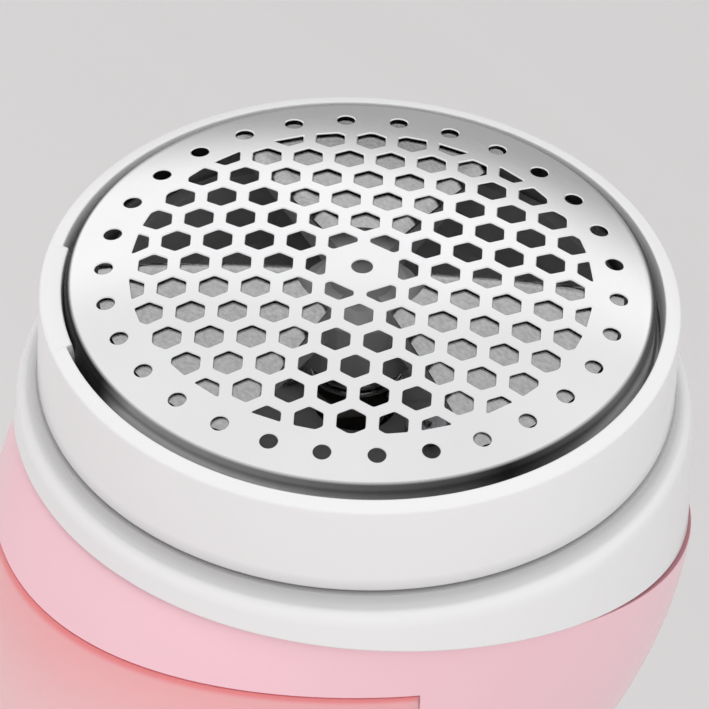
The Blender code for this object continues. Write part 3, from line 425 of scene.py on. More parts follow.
def make_materials():
    return {
        "white_plastic": plastic(
            "white_plastic", (0.88, 0.88, 0.885), 0.22, 0.000004, 0.00022, painted_groove_shade,
            Coat_Weight=0.3, Coat_Roughness=0.06,
        ),
        "pale_pink_plastic": plastic(
            "pale_pink_plastic", (0.95, 0.60, 0.67), 0.26, 0.000004, 0, painted_seam_shade,
            Coat_Weight=0.2, Coat_Roughness=0.08,
        ),
        "coral_plastic": bin_plastic(),
        "grey_plastic": plastic("grey_plastic", (0.42, 0.42, 0.425), 0.42, 0.00004),
        "dark_plastic": plastic("dark_plastic", (0.022, 0.022, 0.025), 0.45, 0.00005),
        "rubber": rubber_look("rubber", (0.030, 0.030, 0.033)),
        "foil_steel": foil_metal(),
        "blade_steel": metal("blade_steel", (0.46, 0.46, 0.465), 0.2, (2, 3, 3), 900.0, 0.00001, 0.15),
        "zinc_steel": metal("zinc_steel", (0.66, 0.67, 0.69), 0.28),
        "core_steel": metal("core_steel", (0.20, 0.20, 0.21), 0.45, (1, 1, 14), 900.0, 0.00004),
        "spring_steel": metal("spring_steel", (0.50, 0.50, 0.51), 0.25),
        "brass": metal("brass", (0.36, 0.34, 0.31), 0.4, (8, 8, 1)),
        "cell_sleeve": plastic("cell_sleeve", (0.03, 0.14, 0.42), 0.28, 0.00003),
        "circuit_board": board_look(),
        "lens": plastic("lens", (0.90, 0.88, 0.84), 0.18, 0.00001, Transmission_Weight=0.5, Coat_Weight=0.5),
        "red_wire": plastic("red_wire", (0.42, 0.015, 0.015), 0.38, 0.00003),
        "black_wire": plastic("black_wire", (0.018, 0.018, 0.018), 0.38, 0.00003),
    }


# ---- mesh tools ----------------------------------------------------------------------------------


def piece(name, verts, faces, material, sharp=SHARP):
    """An object from points in millimetres in the world frame, with its faces made to point out."""
    mesh = bpy.data.meshes.new(name)
    mesh.from_pydata([Vector(v) * MM for v in verts], [], faces)
    work = bmesh.new()
    work.from_mesh(mesh)
    bmesh.ops.recalc_face_normals(work, faces=work.faces)
    work.to_mesh(mesh)
    work.free()
    mesh.shade_smooth()
    mesh.set_sharp_from_angle(angle=radians(sharp))
    obj = bpy.data.objects.new(name, mesh)
    bpy.context.scene.collection.objects.link(obj)
    if material:
        mesh.materials.append(material)
    return obj


def finish_piece(obj, body, slot, *nodes):
    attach(obj, body)
    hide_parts(*nodes)


def in_head(verts):
    return [HEAD @ Vector(v) for v in verts]


def polar(radius, angle, z=0.0):
    return (radius * cos(angle), radius * sin(angle), z)


def bend(start, corner, end, steps):
    """Points of a smooth bend from start to end that would meet in the corner if it were straight."""
    along = [k / steps for k in range(steps + 1)]
    return [start * (1 - t) ** 2 + corner * 2 * t * (1 - t) + end * t**2 for t in along]


def rounded(corners, steps=4):
    """Points of an outline whose corners (r, z, size) are rounded off, each by its own size."""
    points = []
    before, after = corners[-1:] + corners[:-1], corners[1:] + corners[:1]
    for (r0, z0, _), (r, z, size), (r1, z1, _) in zip(before, corners, after):
        here = Vector((r, z))
        if not size:
            points.append(here)
            continue
        start = here + (Vector((r0, z0)) - here).normalized() * size
        end = here + (Vector((r1, z1)) - here).normalized() * size
        points += bend(start, here, end, steps)
    return points


def revolve(outline, angles):
    """Points and faces of a turned shape. Its closed (radius, height) outline may change with the angle."""
    columns = [outline(angle) for angle in angles]
    rows = len(columns[0])
    verts = [polar(p[0], angle, p[1]) for angle, column in zip(angles, columns) for p in column]
    faces = []
    for i in range(len(angles)):
        j = (i + 1) % len(angles)
        for k in range(rows):
            m = (k + 1) % rows
            faces.append((i * rows + k, j * rows + k, j * rows + m, i * rows + m))
    return verts, faces


def solid_turn(outline, sides):
    """Points and faces of a turned solid whose outline starts and ends on its axis."""
    verts = [Vector((0, 0, outline[0][1])), Vector((0, 0, outline[-1][1]))]
    for r, z in outline[1:-1]:
        verts += [Vector(polar(r, angle, z)) for angle in even_angles(sides)]
    rows = len(outline) - 2
    faces = []
    for i in range(sides):
        j = (i + 1) % sides
        faces.append((0, 2 + j, 2 + i))
        for k in range(rows - 1):
            a = 2 + k * sides
            faces.append((a + i, a + j, a + sides + j, a + sides + i))
        last = 2 + (rows - 1) * sides
        faces.append((1, last + i, last + j))
    return verts, faces


def even_angles(sides):
    return [tau * i / sides for i in range(sides)]


def carve(obj, *steps):
    """Applies Boolean steps of (operation, other solid) to the object's mesh and removes the other solids."""
    for operation, other in steps:
        modifier = obj.modifiers.new(other.name, "BOOLEAN")
        modifier.operation = operation
        modifier.object = other
        modifier.solver = "MANIFOLD"
    bpy.context.view_layer.update()
    graph = bpy.context.evaluated_depsgraph_get()
    made = bpy.data.meshes.new_from_object(obj.evaluated_get(graph))
    obj.modifiers.clear()
    obj.data = made
    for _, other in steps:
        bpy.data.objects.remove(other)
    made.shade_smooth()
    made.set_sharp_from_angle(angle=radians(SHARP))


def carried_faces(count):
    """Faces of a solid between two equal outlines of points, the second following the first."""
    faces = [tuple(range(count)), tuple(range(count, 2 * count))]
    return faces + [(i, (i + 1) % count, count + (i + 1) % count, count + i) for i in range(count)]


def grid_rim(rows, columns):
    """Faces that close two layers of grid points round their edge."""
    across = columns + 1
    layer = across * (rows + 1)
    edge = list(range(across)) + [i * across + columns for i in range(1, rows + 1)]
    edge += [rows * across + j for j in range(columns - 1, -1, -1)]
    edge += [i * across for i in range(rows - 1, 0, -1)]
    return [(a, b, layer + b, layer + a) for a, b in zip(edge, edge[1:] + edge[:1])]


def prism(name, outline):
    """A cutter with an outline in world Y and Z, carried along X past both sides of the body."""
    verts = [(x, y, z) for x in (-BEYOND, BEYOND) for y, z in outline]
    return piece(name, verts, carried_faces(len(outline)), None)


def drill(name, radius, x, z, low_y, high_y, sides=48):
    """A round cutter along world Y."""
    verts, faces = solid_turn([(0, low_y), (radius, low_y), (radius, high_y), (0, high_y)], sides)
    return piece(name, [(x + v[0], v[2], z + v[1]) for v in verts], faces, None)


def slab(name, low, high, corner, along, steps=6):
    """A rounded box: a rounded rectangle carried along one axis (0, 1 or 2)."""
    a, b = [axis for axis in range(3) if axis != along]
    outline = []
    for sign_a, sign_b, start in ((1, 1, 0), (-1, 1, 1), (-1, -1, 2), (1, -1, 3)):
        middle_a = (high[a] - corner) if sign_a > 0 else (low[a] + corner)
        middle_b = (high[b] - corner) if sign_b > 0 else (low[b] + corner)
        for k in range(steps + 1):
            angle = (start + k / steps) * pi / 2
            outline.append((middle_a + corner * cos(angle), middle_b + corner * sin(angle)))
    verts = []
    for end in (low[along], high[along]):
        for pa, pb in outline:
            point = [0.0, 0.0, 0.0]
            point[a], point[b], point[along] = pa, pb, end
            verts.append(tuple(point))
    return piece(name, verts, carried_faces(len(outline)), None)


# ---- foil ----------------------------------------------------------------------------------------


def dome(r):
    return -DOME_SQUARE * r**2 - DOME_FOURTH * r**4


def dome_slope(r):
    return -2 * DOME_SQUARE * r - 4 * DOME_FOURTH * r**3


def clipped(outline, radius, inside):
    """The part of a convex polygon inside, or outside, a circle about the middle."""
    def kept(p):
        return (hypot(*p) <= radius) == inside

    result = []
    for p, q in zip(outline, outline[1:] + outline[:1]):
        if kept(p):
            result.append(p)
        if kept(p) != kept(q):
            dx, dy = q[0] - p[0], q[1] - p[1]
            a = dx * dx + dy * dy
            b = p[0] * dx + p[1] * dy
            c = p[0] ** 2 + p[1] ** 2 - radius**2
            root = sqrt(b * b - a * c)
            t = min(t for t in ((-b - root) / a, (-b + root) / a) if 0 <= t <= 1)
            result.append((p[0] + t * dx, p[1] + t * dy))
    return result


def area(outline):
    return sum(p[0] * q[1] - q[0] * p[1] for p, q in zip(outline, outline[1:] + outline[:1])) / 2


def grown(outline, distance):
    """A convex, anticlockwise polygon with each side moved out by a distance."""
    result = []
    count = len(outline)
    for i in range(count):
        before, here, after = (Vector(outline[k % count]) for k in (i - 1, i, i + 1))
        first, second = (here - before).normalized(), (after - here).normalized()
        out_1, out_2 = Vector((first.y, -first.x)), Vector((second.y, -second.x))
        middle = (out_1 + out_2).normalized()
        result.append(here + middle * distance / max(0.35, middle.dot(out_1)))
    return result


def soft_corners(outline, size, steps=3):
    result = []
    count = len(outline)
    for i in range(count):
        before, here, after = (Vector(outline[k % count]) for k in (i - 1, i, i + 1))
        back, ahead = before - here, after - here
        start = here + back.normalized() * min(size, 0.4 * back.length)
        end = here + ahead.normalized() * min(size, 0.4 * ahead.length)
        result += bend(start, here, end, steps)
    return result


def hex_outlines():
    corner = HEX_ACROSS_FLATS / sqrt(3)
    reach = int(HEX_FIELD_RADIUS / HOLE_PITCH) + 2
    turn = Matrix.Rotation(FOIL_TURN, 2)
    outlines = []
    for row in range(-reach, reach + 1):
        for column in range(-2 * reach, 2 * reach + 1):
            x = HOLE_PITCH * (column + row / 2)
            y = HOLE_PITCH * row * sqrt(3) / 2
            if hypot(x, y) > HEX_FIELD_RADIUS + corner:
                continue
            turns = [pi / 6 + k * pi / 3 for k in range(6)]
            hexagon = [(x + corner * cos(angle), y + corner * sin(angle)) for angle in turns]
            hexagon = clipped(hexagon, HEX_FIELD_RADIUS, inside=True)
            hexagon = clipped(hexagon, BLANK_RADIUS, inside=False) if len(hexagon) > 2 else hexagon
            if len(hexagon) > 2 and abs(area(hexagon)) > SMALLEST_HOLE_AREA:
                outlines.append([tuple(turn @ Vector(p)) for p in hexagon])
    return outlines


def circle(x, y, radius, sides):
    return [Vector((x + radius * cos(angle), y + radius * sin(angle))) for angle in even_angles(sides)]


def hole_rings():
    """For each hole, its (outline, depth) steps from the outer face down to the end of its rolled edge."""
    roll = ((1.0, 0.0), (0.45, 0.18), (0.12, 0.5), (0.0, 1.0))
    steps = [(HOLE_ROLL * out, HOLE_ROLL * depth) for out, depth in roll]
    holes = []
    for outline in hex_outlines():
        if area(outline) < 0:
            outline = outline[::-1]
        holes.append([(soft_corners(grown(outline, out), HOLE_CORNER), depth) for out, depth in steps])
    rounds = [(0.0, 0.0, CENTRE_HOLE_RADIUS)]
    for k in range(ROUND_HOLE_COUNT):
        x, y, _ = polar(ROUND_HOLE_CIRCLE, ROUND_HOLE_TURN + tau * k / ROUND_HOLE_COUNT)
        rounds.append((x, y, ROUND_HOLE_RADIUS))
    for x, y, radius in rounds:
        holes.append([(circle(x, y, radius + out, 32), depth) for out, depth in steps])
    return holes


def make_foil(material):
    """The pressed foil: a dome with rolled holes, a smooth shoulder, a polished wall and a flange."""
    holes = hole_rings()
    edge = circle(0, 0, FOIL_EDGE_RADIUS, TURN_SIDES)
    points = list(edge)
    rings = []
    for steps in holes:
        outline = steps[0][0]
        rings.append(list(range(len(points), len(points) + len(outline))))
        points += outline
    centres = [(sum(ring[0][0], Vector((0, 0))) / len(ring[0][0])) for ring in holes]
    count = int(FOIL_EDGE_RADIUS / DOME_GRID) + 1
    for row in range(-count, count + 1):
        for column in range(-count, count + 1):
            p = Vector((DOME_GRID * (column + 0.5 * (row % 2)), DOME_GRID * row * 0.87))
            if p.length < FOIL_EDGE_RADIUS - 0.5 and all((p - c).length > 2.0 for c in centres):
                points.append(p)
    rim = [(i, (i + 1) % TURN_SIDES) for i in range(TURN_SIDES)]
    flat, _, triangles, originals, _, owners = delaunay_2d_cdt(points, rim, rings, 0, 1e-6)
    triangles = [t for t, owner in zip(triangles, owners) if not owner]
    place = {source: i for i, sources in enumerate(originals) for source in sources}

    verts = [(p.x, p.y, dome(p.length)) for p in flat]
    verts += [(p.x, p.y, dome(p.length) - FOIL_THICKNESS) for p in flat]
    below = len(flat)
    faces = [tuple(t) for t in triangles]
    faces += [tuple(below + i for i in reversed(t)) for t in triangles]
    for ring, steps in zip(rings, holes):
        upper = [place[i] for i in ring]
        lowest = [below + i for i in upper]
        for outline, depth in steps[1:]:
            row = list(range(len(verts), len(verts) + len(outline)))
            verts += [(p.x, p.y, dome(p.length) - depth) for p in outline]
            faces += [(upper[k], upper[k - 1], row[k - 1], row[k]) for k in range(len(row))]
            upper = row
        faces += [(upper[k], upper[k - 1], lowest[k - 1], lowest[k]) for k in range(len(upper))]

    slope = atan2(-dome_slope(FOIL_EDGE_RADIUS), 1.0)
    wall = FOIL_EDGE_RADIUS + FOIL_SHOULDER
    centre = (wall - FOIL_SHOULDER, dome(FOIL_EDGE_RADIUS) - FOIL_SHOULDER)
    turn = [pi / 2 - slope - (pi / 2 - slope) * k / 10 for k in range(1, 11)]
    outer = [(centre[0] + FOIL_SHOULDER * cos(a), centre[1] + FOIL_SHOULDER * sin(a)) for a in turn]
    inner_r = FOIL_SHOULDER - FOIL_THICKNESS
    inner = [(centre[0] + inner_r * cos(a), centre[1] + inner_r * sin(a)) for a in turn]
    top, under = FOIL_FLANGE_Z, FOIL_FLANGE_Z - FOIL_THICKNESS
    path = outer + [(wall, top + 0.3), (wall + 0.1, top + 0.1), (wall + 0.3, top), (FOIL_FLANGE_RADIUS, top)]
    path += [(FOIL_FLANGE_RADIUS, under), (wall - FOIL_THICKNESS, under)] + inner[::-1]
    loops = [[place[i] for i in range(TURN_SIDES)]]
    for radius, z in path:
        loops.append(list(range(len(verts), len(verts) + TURN_SIDES)))
        verts += [polar(radius, angle, z) for angle in even_angles(TURN_SIDES)]
    loops.append([below + i for i in loops[0]])
    for low, high in zip(loops, loops[1:]):
        faces += [(low[i - 1], high[i - 1], high[i], low[i]) for i in range(TURN_SIDES)]
    foil = piece("foil_screen", in_head(verts), faces, material, 60)

    normals = [Vector((0, 0, 0))] * len(verts)
    for i, p in enumerate(flat):
        radius = max(p.length, 1e-6)
        lean = -dome_slope(radius)
        tilt = Vector((p.x / radius * lean, p.y / radius * lean, 1)).normalized()
        normals[i] = (HEAD.to_3x3() @ tilt).normalized()
    foil.data.normals_split_custom_set_from_vertices(normals)
    finish_piece(foil, "foil_assembly", "foil_steel", "shaving_foil")


# ---- head ----------------------------------------------------------------------------------------


def seam_height(y):
    return SEAM_MID - SEAM_SLOPE * y - SEAM_BOW * y * y


def smooth_step(t):
    t = min(1.0, max(0.0, t))
    return t * t * (3 - 2 * t)


def make_ring(material):
    """The ring round the foil: a rim with rounded edges, a plain wall and the locating tab inside it."""
    soft = radians(0.5)

    def tab(angle):
        return smooth_step((angle - TAB_FROM) / soft) * smooth_step((TAB_TO - angle) / soft)

    def outline(angle):
        inner = RIM_INNER_RADIUS - TAB_DEPTH * tab(angle)
        corners = [
            (RIM_INNER_RADIUS - RING_LEAN, FOIL_FLANGE_Z + 0.4, 0.0),
            (inner - RING_LEAN, FOIL_FLANGE_Z + 0.6, 0.0),
            (inner - RING_LEAN, RIM_INNER_Z - 1.5, 0.0),
            (inner, RIM_INNER_Z, 0.16),
            (RIM_OUTER_RADIUS, RIM_OUTER_Z, 0.22),
            (RIM_OUTER_RADIUS, RING_BOTTOM_Z, 0.35),
            (RING_BORE, RING_BOTTOM_Z, 0.0),
            (RING_BORE, FOIL_FLANGE_Z + 0.4, 0.0),
        ]
        return rounded(corners, 5)

    tab_angles = [start + k * soft / 4 for start in (TAB_FROM, TAB_TO - soft) for k in range(5)]
    verts, faces = revolve(outline, sorted(even_angles(TURN_SIDES) + tab_angles))
    ring = piece("ring_cover", in_head(verts), faces, material)
    finish_piece(ring, "foil_assembly", "white_plastic", "head_ring")


def make_collar(material):
    """The collar under the ring: a soft hollow at its top, a rounded shoulder and a wall down to the seam."""
    start = RIM_OUTER_RADIUS + 0.15
    crest = start + 0.75

    def outline(angle):
        edge = seam_height(SEAM_RADIUS * sin(angle))
        inside = seam_height(COLLAR_INSIDE * sin(angle))
        deck = ((COLLAR_BORE, DECK_Z - 2.0), (COLLAR_BORE, DECK_Z), (RIM_OUTER_RADIUS - 0.4, DECK_Z))
        points = [Vector(corner) for corner in deck]
        for k in range(9):
            turned = pi / 2 * k / 8
            height = DECK_Z - 0.02 - (DECK_Z - GROOVE_Z) * sin(turned)
            points.append(Vector((crest - (crest - start) * cos(turned), height)))
        for k in range(1, 15):
            turned = pi / 2 * k / 14
            radius = crest + (COLLAR_RADIUS - crest) * sin(turned)
            points.append(Vector((radius, SHOULDER_Z + (GROOVE_Z - 0.02 - SHOULDER_Z) * cos(turned))))
        low = [(SEAM_RADIUS, edge, 0.3), (COLLAR_INSIDE, inside, 0.2)]
        ends = [(COLLAR_RADIUS, SHOULDER_Z, 0.0)] + low + [(COLLAR_INSIDE, DECK_Z - 2.0, 0.0)]
        return points + rounded(ends, 4)[1:]

    verts, faces = revolve(outline, even_angles(TURN_SIDES))
    collar = piece("collar_cover", in_head(verts), faces, material)
    finish_piece(collar, "body", "white_plastic", "head_collar")


def blade_sheet(middle, steps=28, rows=16):
    """Points and faces of one pressed cutter blade: ground cutting edges with a low ridge beside them."""
    verts = []
    for side in (0, 1):
        for i in range(rows + 1):
            radius = BLADE_INNER + (BLADE_OUTER - BLADE_INNER) * i / rows
            for j in range(steps + 1):
                across = -1 + 2 * j / steps
                angle = middle + BLADE_HALF_ANGLE * across
                edge_mm = (1 - abs(across)) * BLADE_HALF_ANGLE * radius
                ground = GROUND_DEPTH * max(0.0, 1 - edge_mm / GROUND_WIDTH)
                top = dome(radius) - BLADE_TOP_DROP - (ground if side else BLADE_THICKNESS)
                rise = RIDGE_HEIGHT * max(0.0, 1 - abs(edge_mm - RIDGE_INSET) / RIDGE_HALF_WIDTH)
                verts.append(polar(radius, angle, top + (rise if side else 0.0)))
    across = steps + 1
    layer = across * (rows + 1)
    faces = []
    for i in range(rows):
        for j in range(steps):
            a = i * across + j
            faces.append((a, a + 1, a + across + 1, a + across))
            faces.append((layer + a, layer + a + across, layer + a + across + 1, layer + a + 1))
    return verts, faces + grid_rim(rows, steps)


def make_blades(material):
    for i in range(BLADE_COUNT):
        verts, faces = blade_sheet(BLADE_TURN + tau * i / BLADE_COUNT)
        blade = piece(f"cutter_blade_{i + 1}", in_head(verts), faces, material, 30)
        finish_piece(blade, "blade_set", "blade_steel", f"blade_{i + 1}")


def make_blade_spring(material, sides=12, steps=36):
    """The spring that lifts the blades, wound of round wire."""
    verts = []
    count = SPRING_TURNS * steps
    for i in range(count + 1):
        angle = tau * i / steps
        height = SPRING_LOW + (SPRING_HIGH - SPRING_LOW) * i / count
        for k in range(sides):
            around = tau * k / sides
            radius = SPRING_RADIUS + SPRING_WIRE * cos(around)
            verts.append(polar(radius, angle, height + SPRING_WIRE * sin(around)))
    faces = [tuple(range(sides)), tuple(range((count + 1) * sides - 1, count * sides - 1, -1))]
    for start in range(0, count * sides, sides):
        for k in range(sides):
            after = (k + 1) % sides
            faces.append((start + k, start + sides + k, start + sides + after, start + after))
    spring = piece("lift_spring", in_head(verts), faces, material)
    finish_piece(spring, "drive", "spring_steel", "blade_spring")
    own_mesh(spring)


# ---- body ----------------------------------------------------------------------------------------


def head_point(y, z):
    """World (y, z) of a point in the head frame's middle plane."""
    point = HEAD @ Vector((0, y, z))
    return point.y, point.z


def bezier(a, b, c, d, t):
    s = 1 - t
    m, n, o, k = s**3, 3 * s * s * t, 3 * s * t * t, t**3
    return tuple(m * p + n * q + o * r + k * u for p, q, r, u in zip(a, b, c, d))


def body_sections():
    """Each cross-section's front and back point, half width, bow and egg shape, from seam to base."""
    front = head_point(-NECK_RADIUS, seam_height(-NECK_RADIUS) - SEAM_GAP)
    back = head_point(SEAM_RADIUS, seam_height(SEAM_RADIUS) - SEAM_GAP)
    bow = SEAM_BOW * NECK_RADIUS**2
    front_curve = (front, (-39.2, 91.0), (-GRIP_RADIUS, 80.0), (-GRIP_RADIUS, GRIP_Z))
    back_curve = (back, (back[0] + 25.0, back[1] - 25.0), (GRIP_RADIUS + 2.5, 94.0), (GRIP_RADIUS, GRIP_Z))
    widths = (NECK_RADIUS, NECK_RADIUS - 1.8, GRIP_RADIUS, GRIP_RADIUS)
    sections = []
    for i in range(BODY_STATIONS + 1):
        t = i / BODY_STATIONS
        width = bezier(*[(w,) for w in widths], t)[0]
        fade = (1 - t) ** 2
        sections.append((bezier(*front_curve, t), bezier(*back_curve, t), width, bow * fade, NECK_EGG * fade))
    for i in range(1, GRIP_STATIONS + 1):
        t = i / GRIP_STATIONS
        z = GRIP_Z + (SHELL_BOTTOM_Z - GRIP_Z) * t
        radius = GRIP_RADIUS + (BASE_RADIUS - GRIP_RADIUS) * (1 - cos(pi * t / 2)) * (0.75 + 0.25 * t)
        sections.append(((-radius, z), (radius, z), radius, 0.0, 0.0))
    return sections


def section_ring(front, back, width, bow, egg, inset):
    middle = Vector((0, (front[0] + back[0]) / 2, (front[1] + back[1]) / 2))
    along = Vector((0, back[0] - front[0], back[1] - front[1]))
    depth = along.length / 2
    along.normalize()
    up = Vector((1, 0, 0)).cross(along)
    ring = []
    for angle in even_angles(BODY_SIDES):
        side = (width - inset) * cos(angle) * (1 + egg * sin(angle))
        point = middle + Vector((side, 0, 0)) + along * (depth - inset) * sin(angle)
        ring.append(point + up * bow * cos(angle) ** 2)
    return ring


def skin(inset):
    return [section_ring(*section, inset) for section in body_sections()]


def strips(rings):
    """Faces between each ring of points and the next. A last ring that is the first one closes the loop."""
    count = BODY_SIDES * (len(rings) - (rings[-1] is rings[0]))
    faces = []
    for start in range(0, BODY_SIDES * (len(rings) - 1), BODY_SIDES):
        after = (start + BODY_SIDES) % count
        for j in range(BODY_SIDES):
            k = (j + 1) % BODY_SIDES
            faces.append((start + j, start + k, after + k, after + j))
    return faces


def lip_ring(radius, rise):
    ring = []
    for angle in even_angles(BODY_SIDES):
        x, y, _ = polar(radius, angle)
        ring.append(Vector((x, *head_point(y, seam_height(y) + rise))))
    return ring


def rolled_edge(edge, below, inward, size, steps=5):
    """Rings that round off an edge, from the wall below it to the face that runs inward from it."""
    bends = []
    for corner, down, aside in zip(edge, below, inward):
        start = corner + (down - corner).normalized() * size
        end = corner + (aside - corner).normalized() * size
        bends.append(bend(start, corner, end, steps))
    return [list(ring) for ring in zip(*bends)]


def body_tube(name, material):
    """The body's wall, with a rolled top edge, the lip inside the collar, and open at the base."""
    outer, inner = skin(0.0), skin(WALL)
    foot = lip_ring(LIP_OUTER, -SEAM_GAP)
    lip = [foot, lip_ring(LIP_OUTER, LIP_RISE), lip_ring(LIP_INNER, LIP_RISE)]
    top = rolled_edge(outer[0], outer[1], foot, TOP_ROLL)
    rings = outer[:0:-1] + top + lip + inner
    verts = [point for ring in rings for point in ring]
    return piece(name, verts, strips(rings + rings[:1]), material)


def body_solid(name, inset, material=None):
    rings = skin(inset)
    verts = [point for ring in rings for point in ring]
    faces = strips(rings)
    last = len(verts) - BODY_SIDES
    verts.append(sum(rings[0], Vector()) / BODY_SIDES)
    faces += [(i, (i + 1) % BODY_SIDES, len(verts) - 1) for i in range(BODY_SIDES)]
    faces.append(tuple(range(last, last + BODY_SIDES)))
    return piece(name, verts, faces, material)


def bin_line(drop, steps=48, reach=-BEYOND):
    points = []
    for i in range(steps + 1):
        y = BIN_BACK_Y + (reach - BIN_BACK_Y) * i / steps
        points.append(head_point(y, seam_height(y) - drop))
    return points


def front_outline(grow):
    """Everything in front of the rear shell, grown by a gap."""
    back = BIN_BACK_Y + grow
    corner = head_point(back, BIN_FLOOR_Z)
    top = [head_point(back, seam_height(BIN_BACK_Y) - BIN_DROP + grow)] + bin_line(BIN_DROP - grow)[1:]
    split = SPLIT_Y + grow
    elbow = (split, corner[1] + corner[0] - split)
    return [elbow] + top + [(FAR_FRONT_Y, top[-1][1]), (FAR_FRONT_Y, BELOW_ALL_Z), (split, BELOW_ALL_Z)]


def bin_outline(shrink=0.0, open_top=False):
    lift = 6.0 if open_top else 0.0
    back = BIN_BACK_Y - shrink
    top = [head_point(back, seam_height(BIN_BACK_Y) - BIN_DROP + lift)] + bin_line(BIN_DROP - lift)[1:]
    low_front = head_point(-BEYOND, BIN_FLOOR_Z + GAP / 2 + shrink)
    low_back = head_point(back, BIN_FLOOR_Z + GAP / 2 + shrink)
    return top + [low_front, low_back]


def make_bin(material):
    """The lint bin: a drawer in the body's skin, open on top."""
    drawer = body_solid("bin_drawer", 0.0, material)
    hollow = body_solid("bin_hollow", BIN_WALL)
    carve(hollow, ("INTERSECT", prism("hollow_space", bin_outline(BIN_WALL, open_top=True))))
    carve(drawer, ("INTERSECT", prism("bin_space", bin_outline())), ("DIFFERENCE", hollow))
    finish_piece(drawer, "bin", "coral_plastic", "lint_bin")


def make_rear_shell(material):
    shell = body_tube("rear_cover", material)
    steps = [("DIFFERENCE", prism("front_space", front_outline(GAP / 2)))]
    for i, (x, z) in enumerate(SCREW_PLACES):
        boss = drill(f"boss_{i}", BOSS_RADIUS, x, z, SPLIT_Y + GAP, 15.0 if z < GRIP_Z else 11.5)
        steps.append(("UNION", boss))
        steps.append(("DIFFERENCE", drill(f"hole_{i}", SCREW_HOLE_RADIUS, x, z, SPLIT_Y - 1.0, 9.0)))
        steps.append(("DIFFERENCE", drill(f"sink_{i}", SINK_RADIUS, x, z, 8.0, 30.0)))
    window = slab("socket_window", (-5.2, 18.0, SOCKET_Z - 2.2), (5.2, 32.0, SOCKET_Z + 2.2), 2.1, 1)
    steps.append(("DIFFERENCE", window))
    carve(shell, *steps)
    finish_piece(shell, "body", "pale_pink_plastic", "rear_shell")


def make_front_shell(material):
    shell = body_tube("front_cover", material)
    back = head_point(0, BIN_FLOOR_Z - GAP / 2)
    rise = back[1] - back[0]
    split = SPLIT_Y - GAP / 2
    slope = [(split, split + rise), (FAR_FRONT_Y, rise + FAR_FRONT_Y)]
    region = prism("front_region", slope + [(FAR_FRONT_Y, BELOW_ALL_Z), (split, BELOW_ALL_Z)])
    steps = [("INTERSECT", region)]
    low, high = SWITCH_Z - 4.2, SWITCH_Z + SWITCH_TRAVEL + 4.2
    steps.append(("DIFFERENCE", slab("switch_window", (-3.0, -30.0, low), (3.0, -10.0, high), 1.2, 1)))
    steps.append(("DIFFERENCE", drill("lens_hole", 1.9, 0, LENS_Z, -30.0, -10.0)))
    carve(shell, *steps)
    finish_piece(shell, "body", "pale_pink_plastic", "front_shell")


def make_slider(material):
    """The thumb slider: a soft-cornered pad that follows the handle, with three finger ribs."""
    half_height, half_angle, rows, columns = 7.0, radians(18), 56, 36
    low, high, roll = 21.2, 22.9, 0.7
    rib_pitch, rib_height = 3.2, 0.75

    def outer(u, v):
        edge = min((1 - abs(u)) * half_angle * high, (1 - abs(v)) * half_height)
        fall = 0.0 if edge > roll else roll - sqrt(max(0.0, roll**2 - (roll - edge) ** 2))
        bump = 0.0
        for k in (-1, 0, 1):
            away = abs(v * half_height - rib_pitch * k)
            side = smooth_step((0.74 - abs(u)) / 0.12)
            bump = max(bump, rib_height * smooth_step((0.95 - away) / 0.6) * side)
        return high - fall + bump

    verts = []
    for layer in (0, 1):
        for i in range(rows + 1):
            v = -1 + 2 * i / rows
            for j in range(columns + 1):
                u = -1 + 2 * j / columns
                radius = outer(u, v) if layer else low
                verts.append(polar(radius, -pi / 2 + u * half_angle, SWITCH_Z + v * half_height))
    across = columns + 1
    size = across * (rows + 1)
    faces = []
    for i in range(rows):
        for j in range(columns):
            a = i * across + j
            faces.append((a, a + across, a + across + 1, a + 1))
            faces.append((size + a, size + a + 1, size + a + across + 1, size + a + across))
    pad = piece("thumb_slider", verts, faces + grid_rim(rows, columns), material)
    stem = slab("slider_stem", (-2.4, -21.8, SWITCH_Z - 3.4), (2.4, -17.1, SWITCH_Z + 3.4), 0.8, 1)
    carve(pad, ("UNION", stem))
    finish_piece(pad, "slider", "white_plastic", "switch_slider")


def make_lens(material):
    corners = rounded([(1.6, 15.0, 0.0), (1.6, 21.8, 0.5), (0.0, 22.0, 0.0)], 6)
    verts, faces = solid_turn([(0, 15.0)] + [tuple(p) for p in corners], 64)
    lens = piece("light_lens", [(v[0], -v[2], LENS_Z + v[1]) for v in verts], faces, material)
    finish_piece(lens, "body", "lens", "indicator_lens")


def make_base(plastic_material, rubber_material):
    corners = [
        (0, 2.2, 0), (20.3, 2.2, 0), (20.3, 1.0, 0.15), (25.0, 1.0, 0.8), (25.8, 1.9, 0.7),
        (25.8, SHELL_BOTTOM_Z - GAP, 0.2), (23.6, SHELL_BOTTOM_Z - GAP, 0), (23.2, 6.5, 0.3),
        (21.6, 6.5, 0.3), (21.6, SHELL_BOTTOM_Z - 0.2, 0), (0, SHELL_BOTTOM_Z - 0.2, 0),
    ]
    verts, faces = solid_turn([tuple(p) for p in rounded(corners, 5)], TURN_SIDES)
    finish_piece(piece("base_cover", verts, faces, plastic_material), "body", "white_plastic", "base_cap")
    underside = [(0, 0.0, 0)]
    for k in range(5):
        groove = 4.0 + 3.2 * k
        for across, height in ((0.0, 0.0), (0.25, 0.45), (0.95, 0.45), (1.2, 0.0)):
            underside.append((groove + across, height, 0.1))
    corners = underside + [(19.6, 0, 0.4), (20.0, 0.6, 0.2), (20.0, 1.9, 0.2), (0, 1.9, 0)]
    verts, faces = solid_turn([tuple(p) for p in rounded(corners, 3)], TURN_SIDES)
    finish_piece(piece("foot_ring", verts, faces, rubber_material), "body", "rubber", "foot_pad")


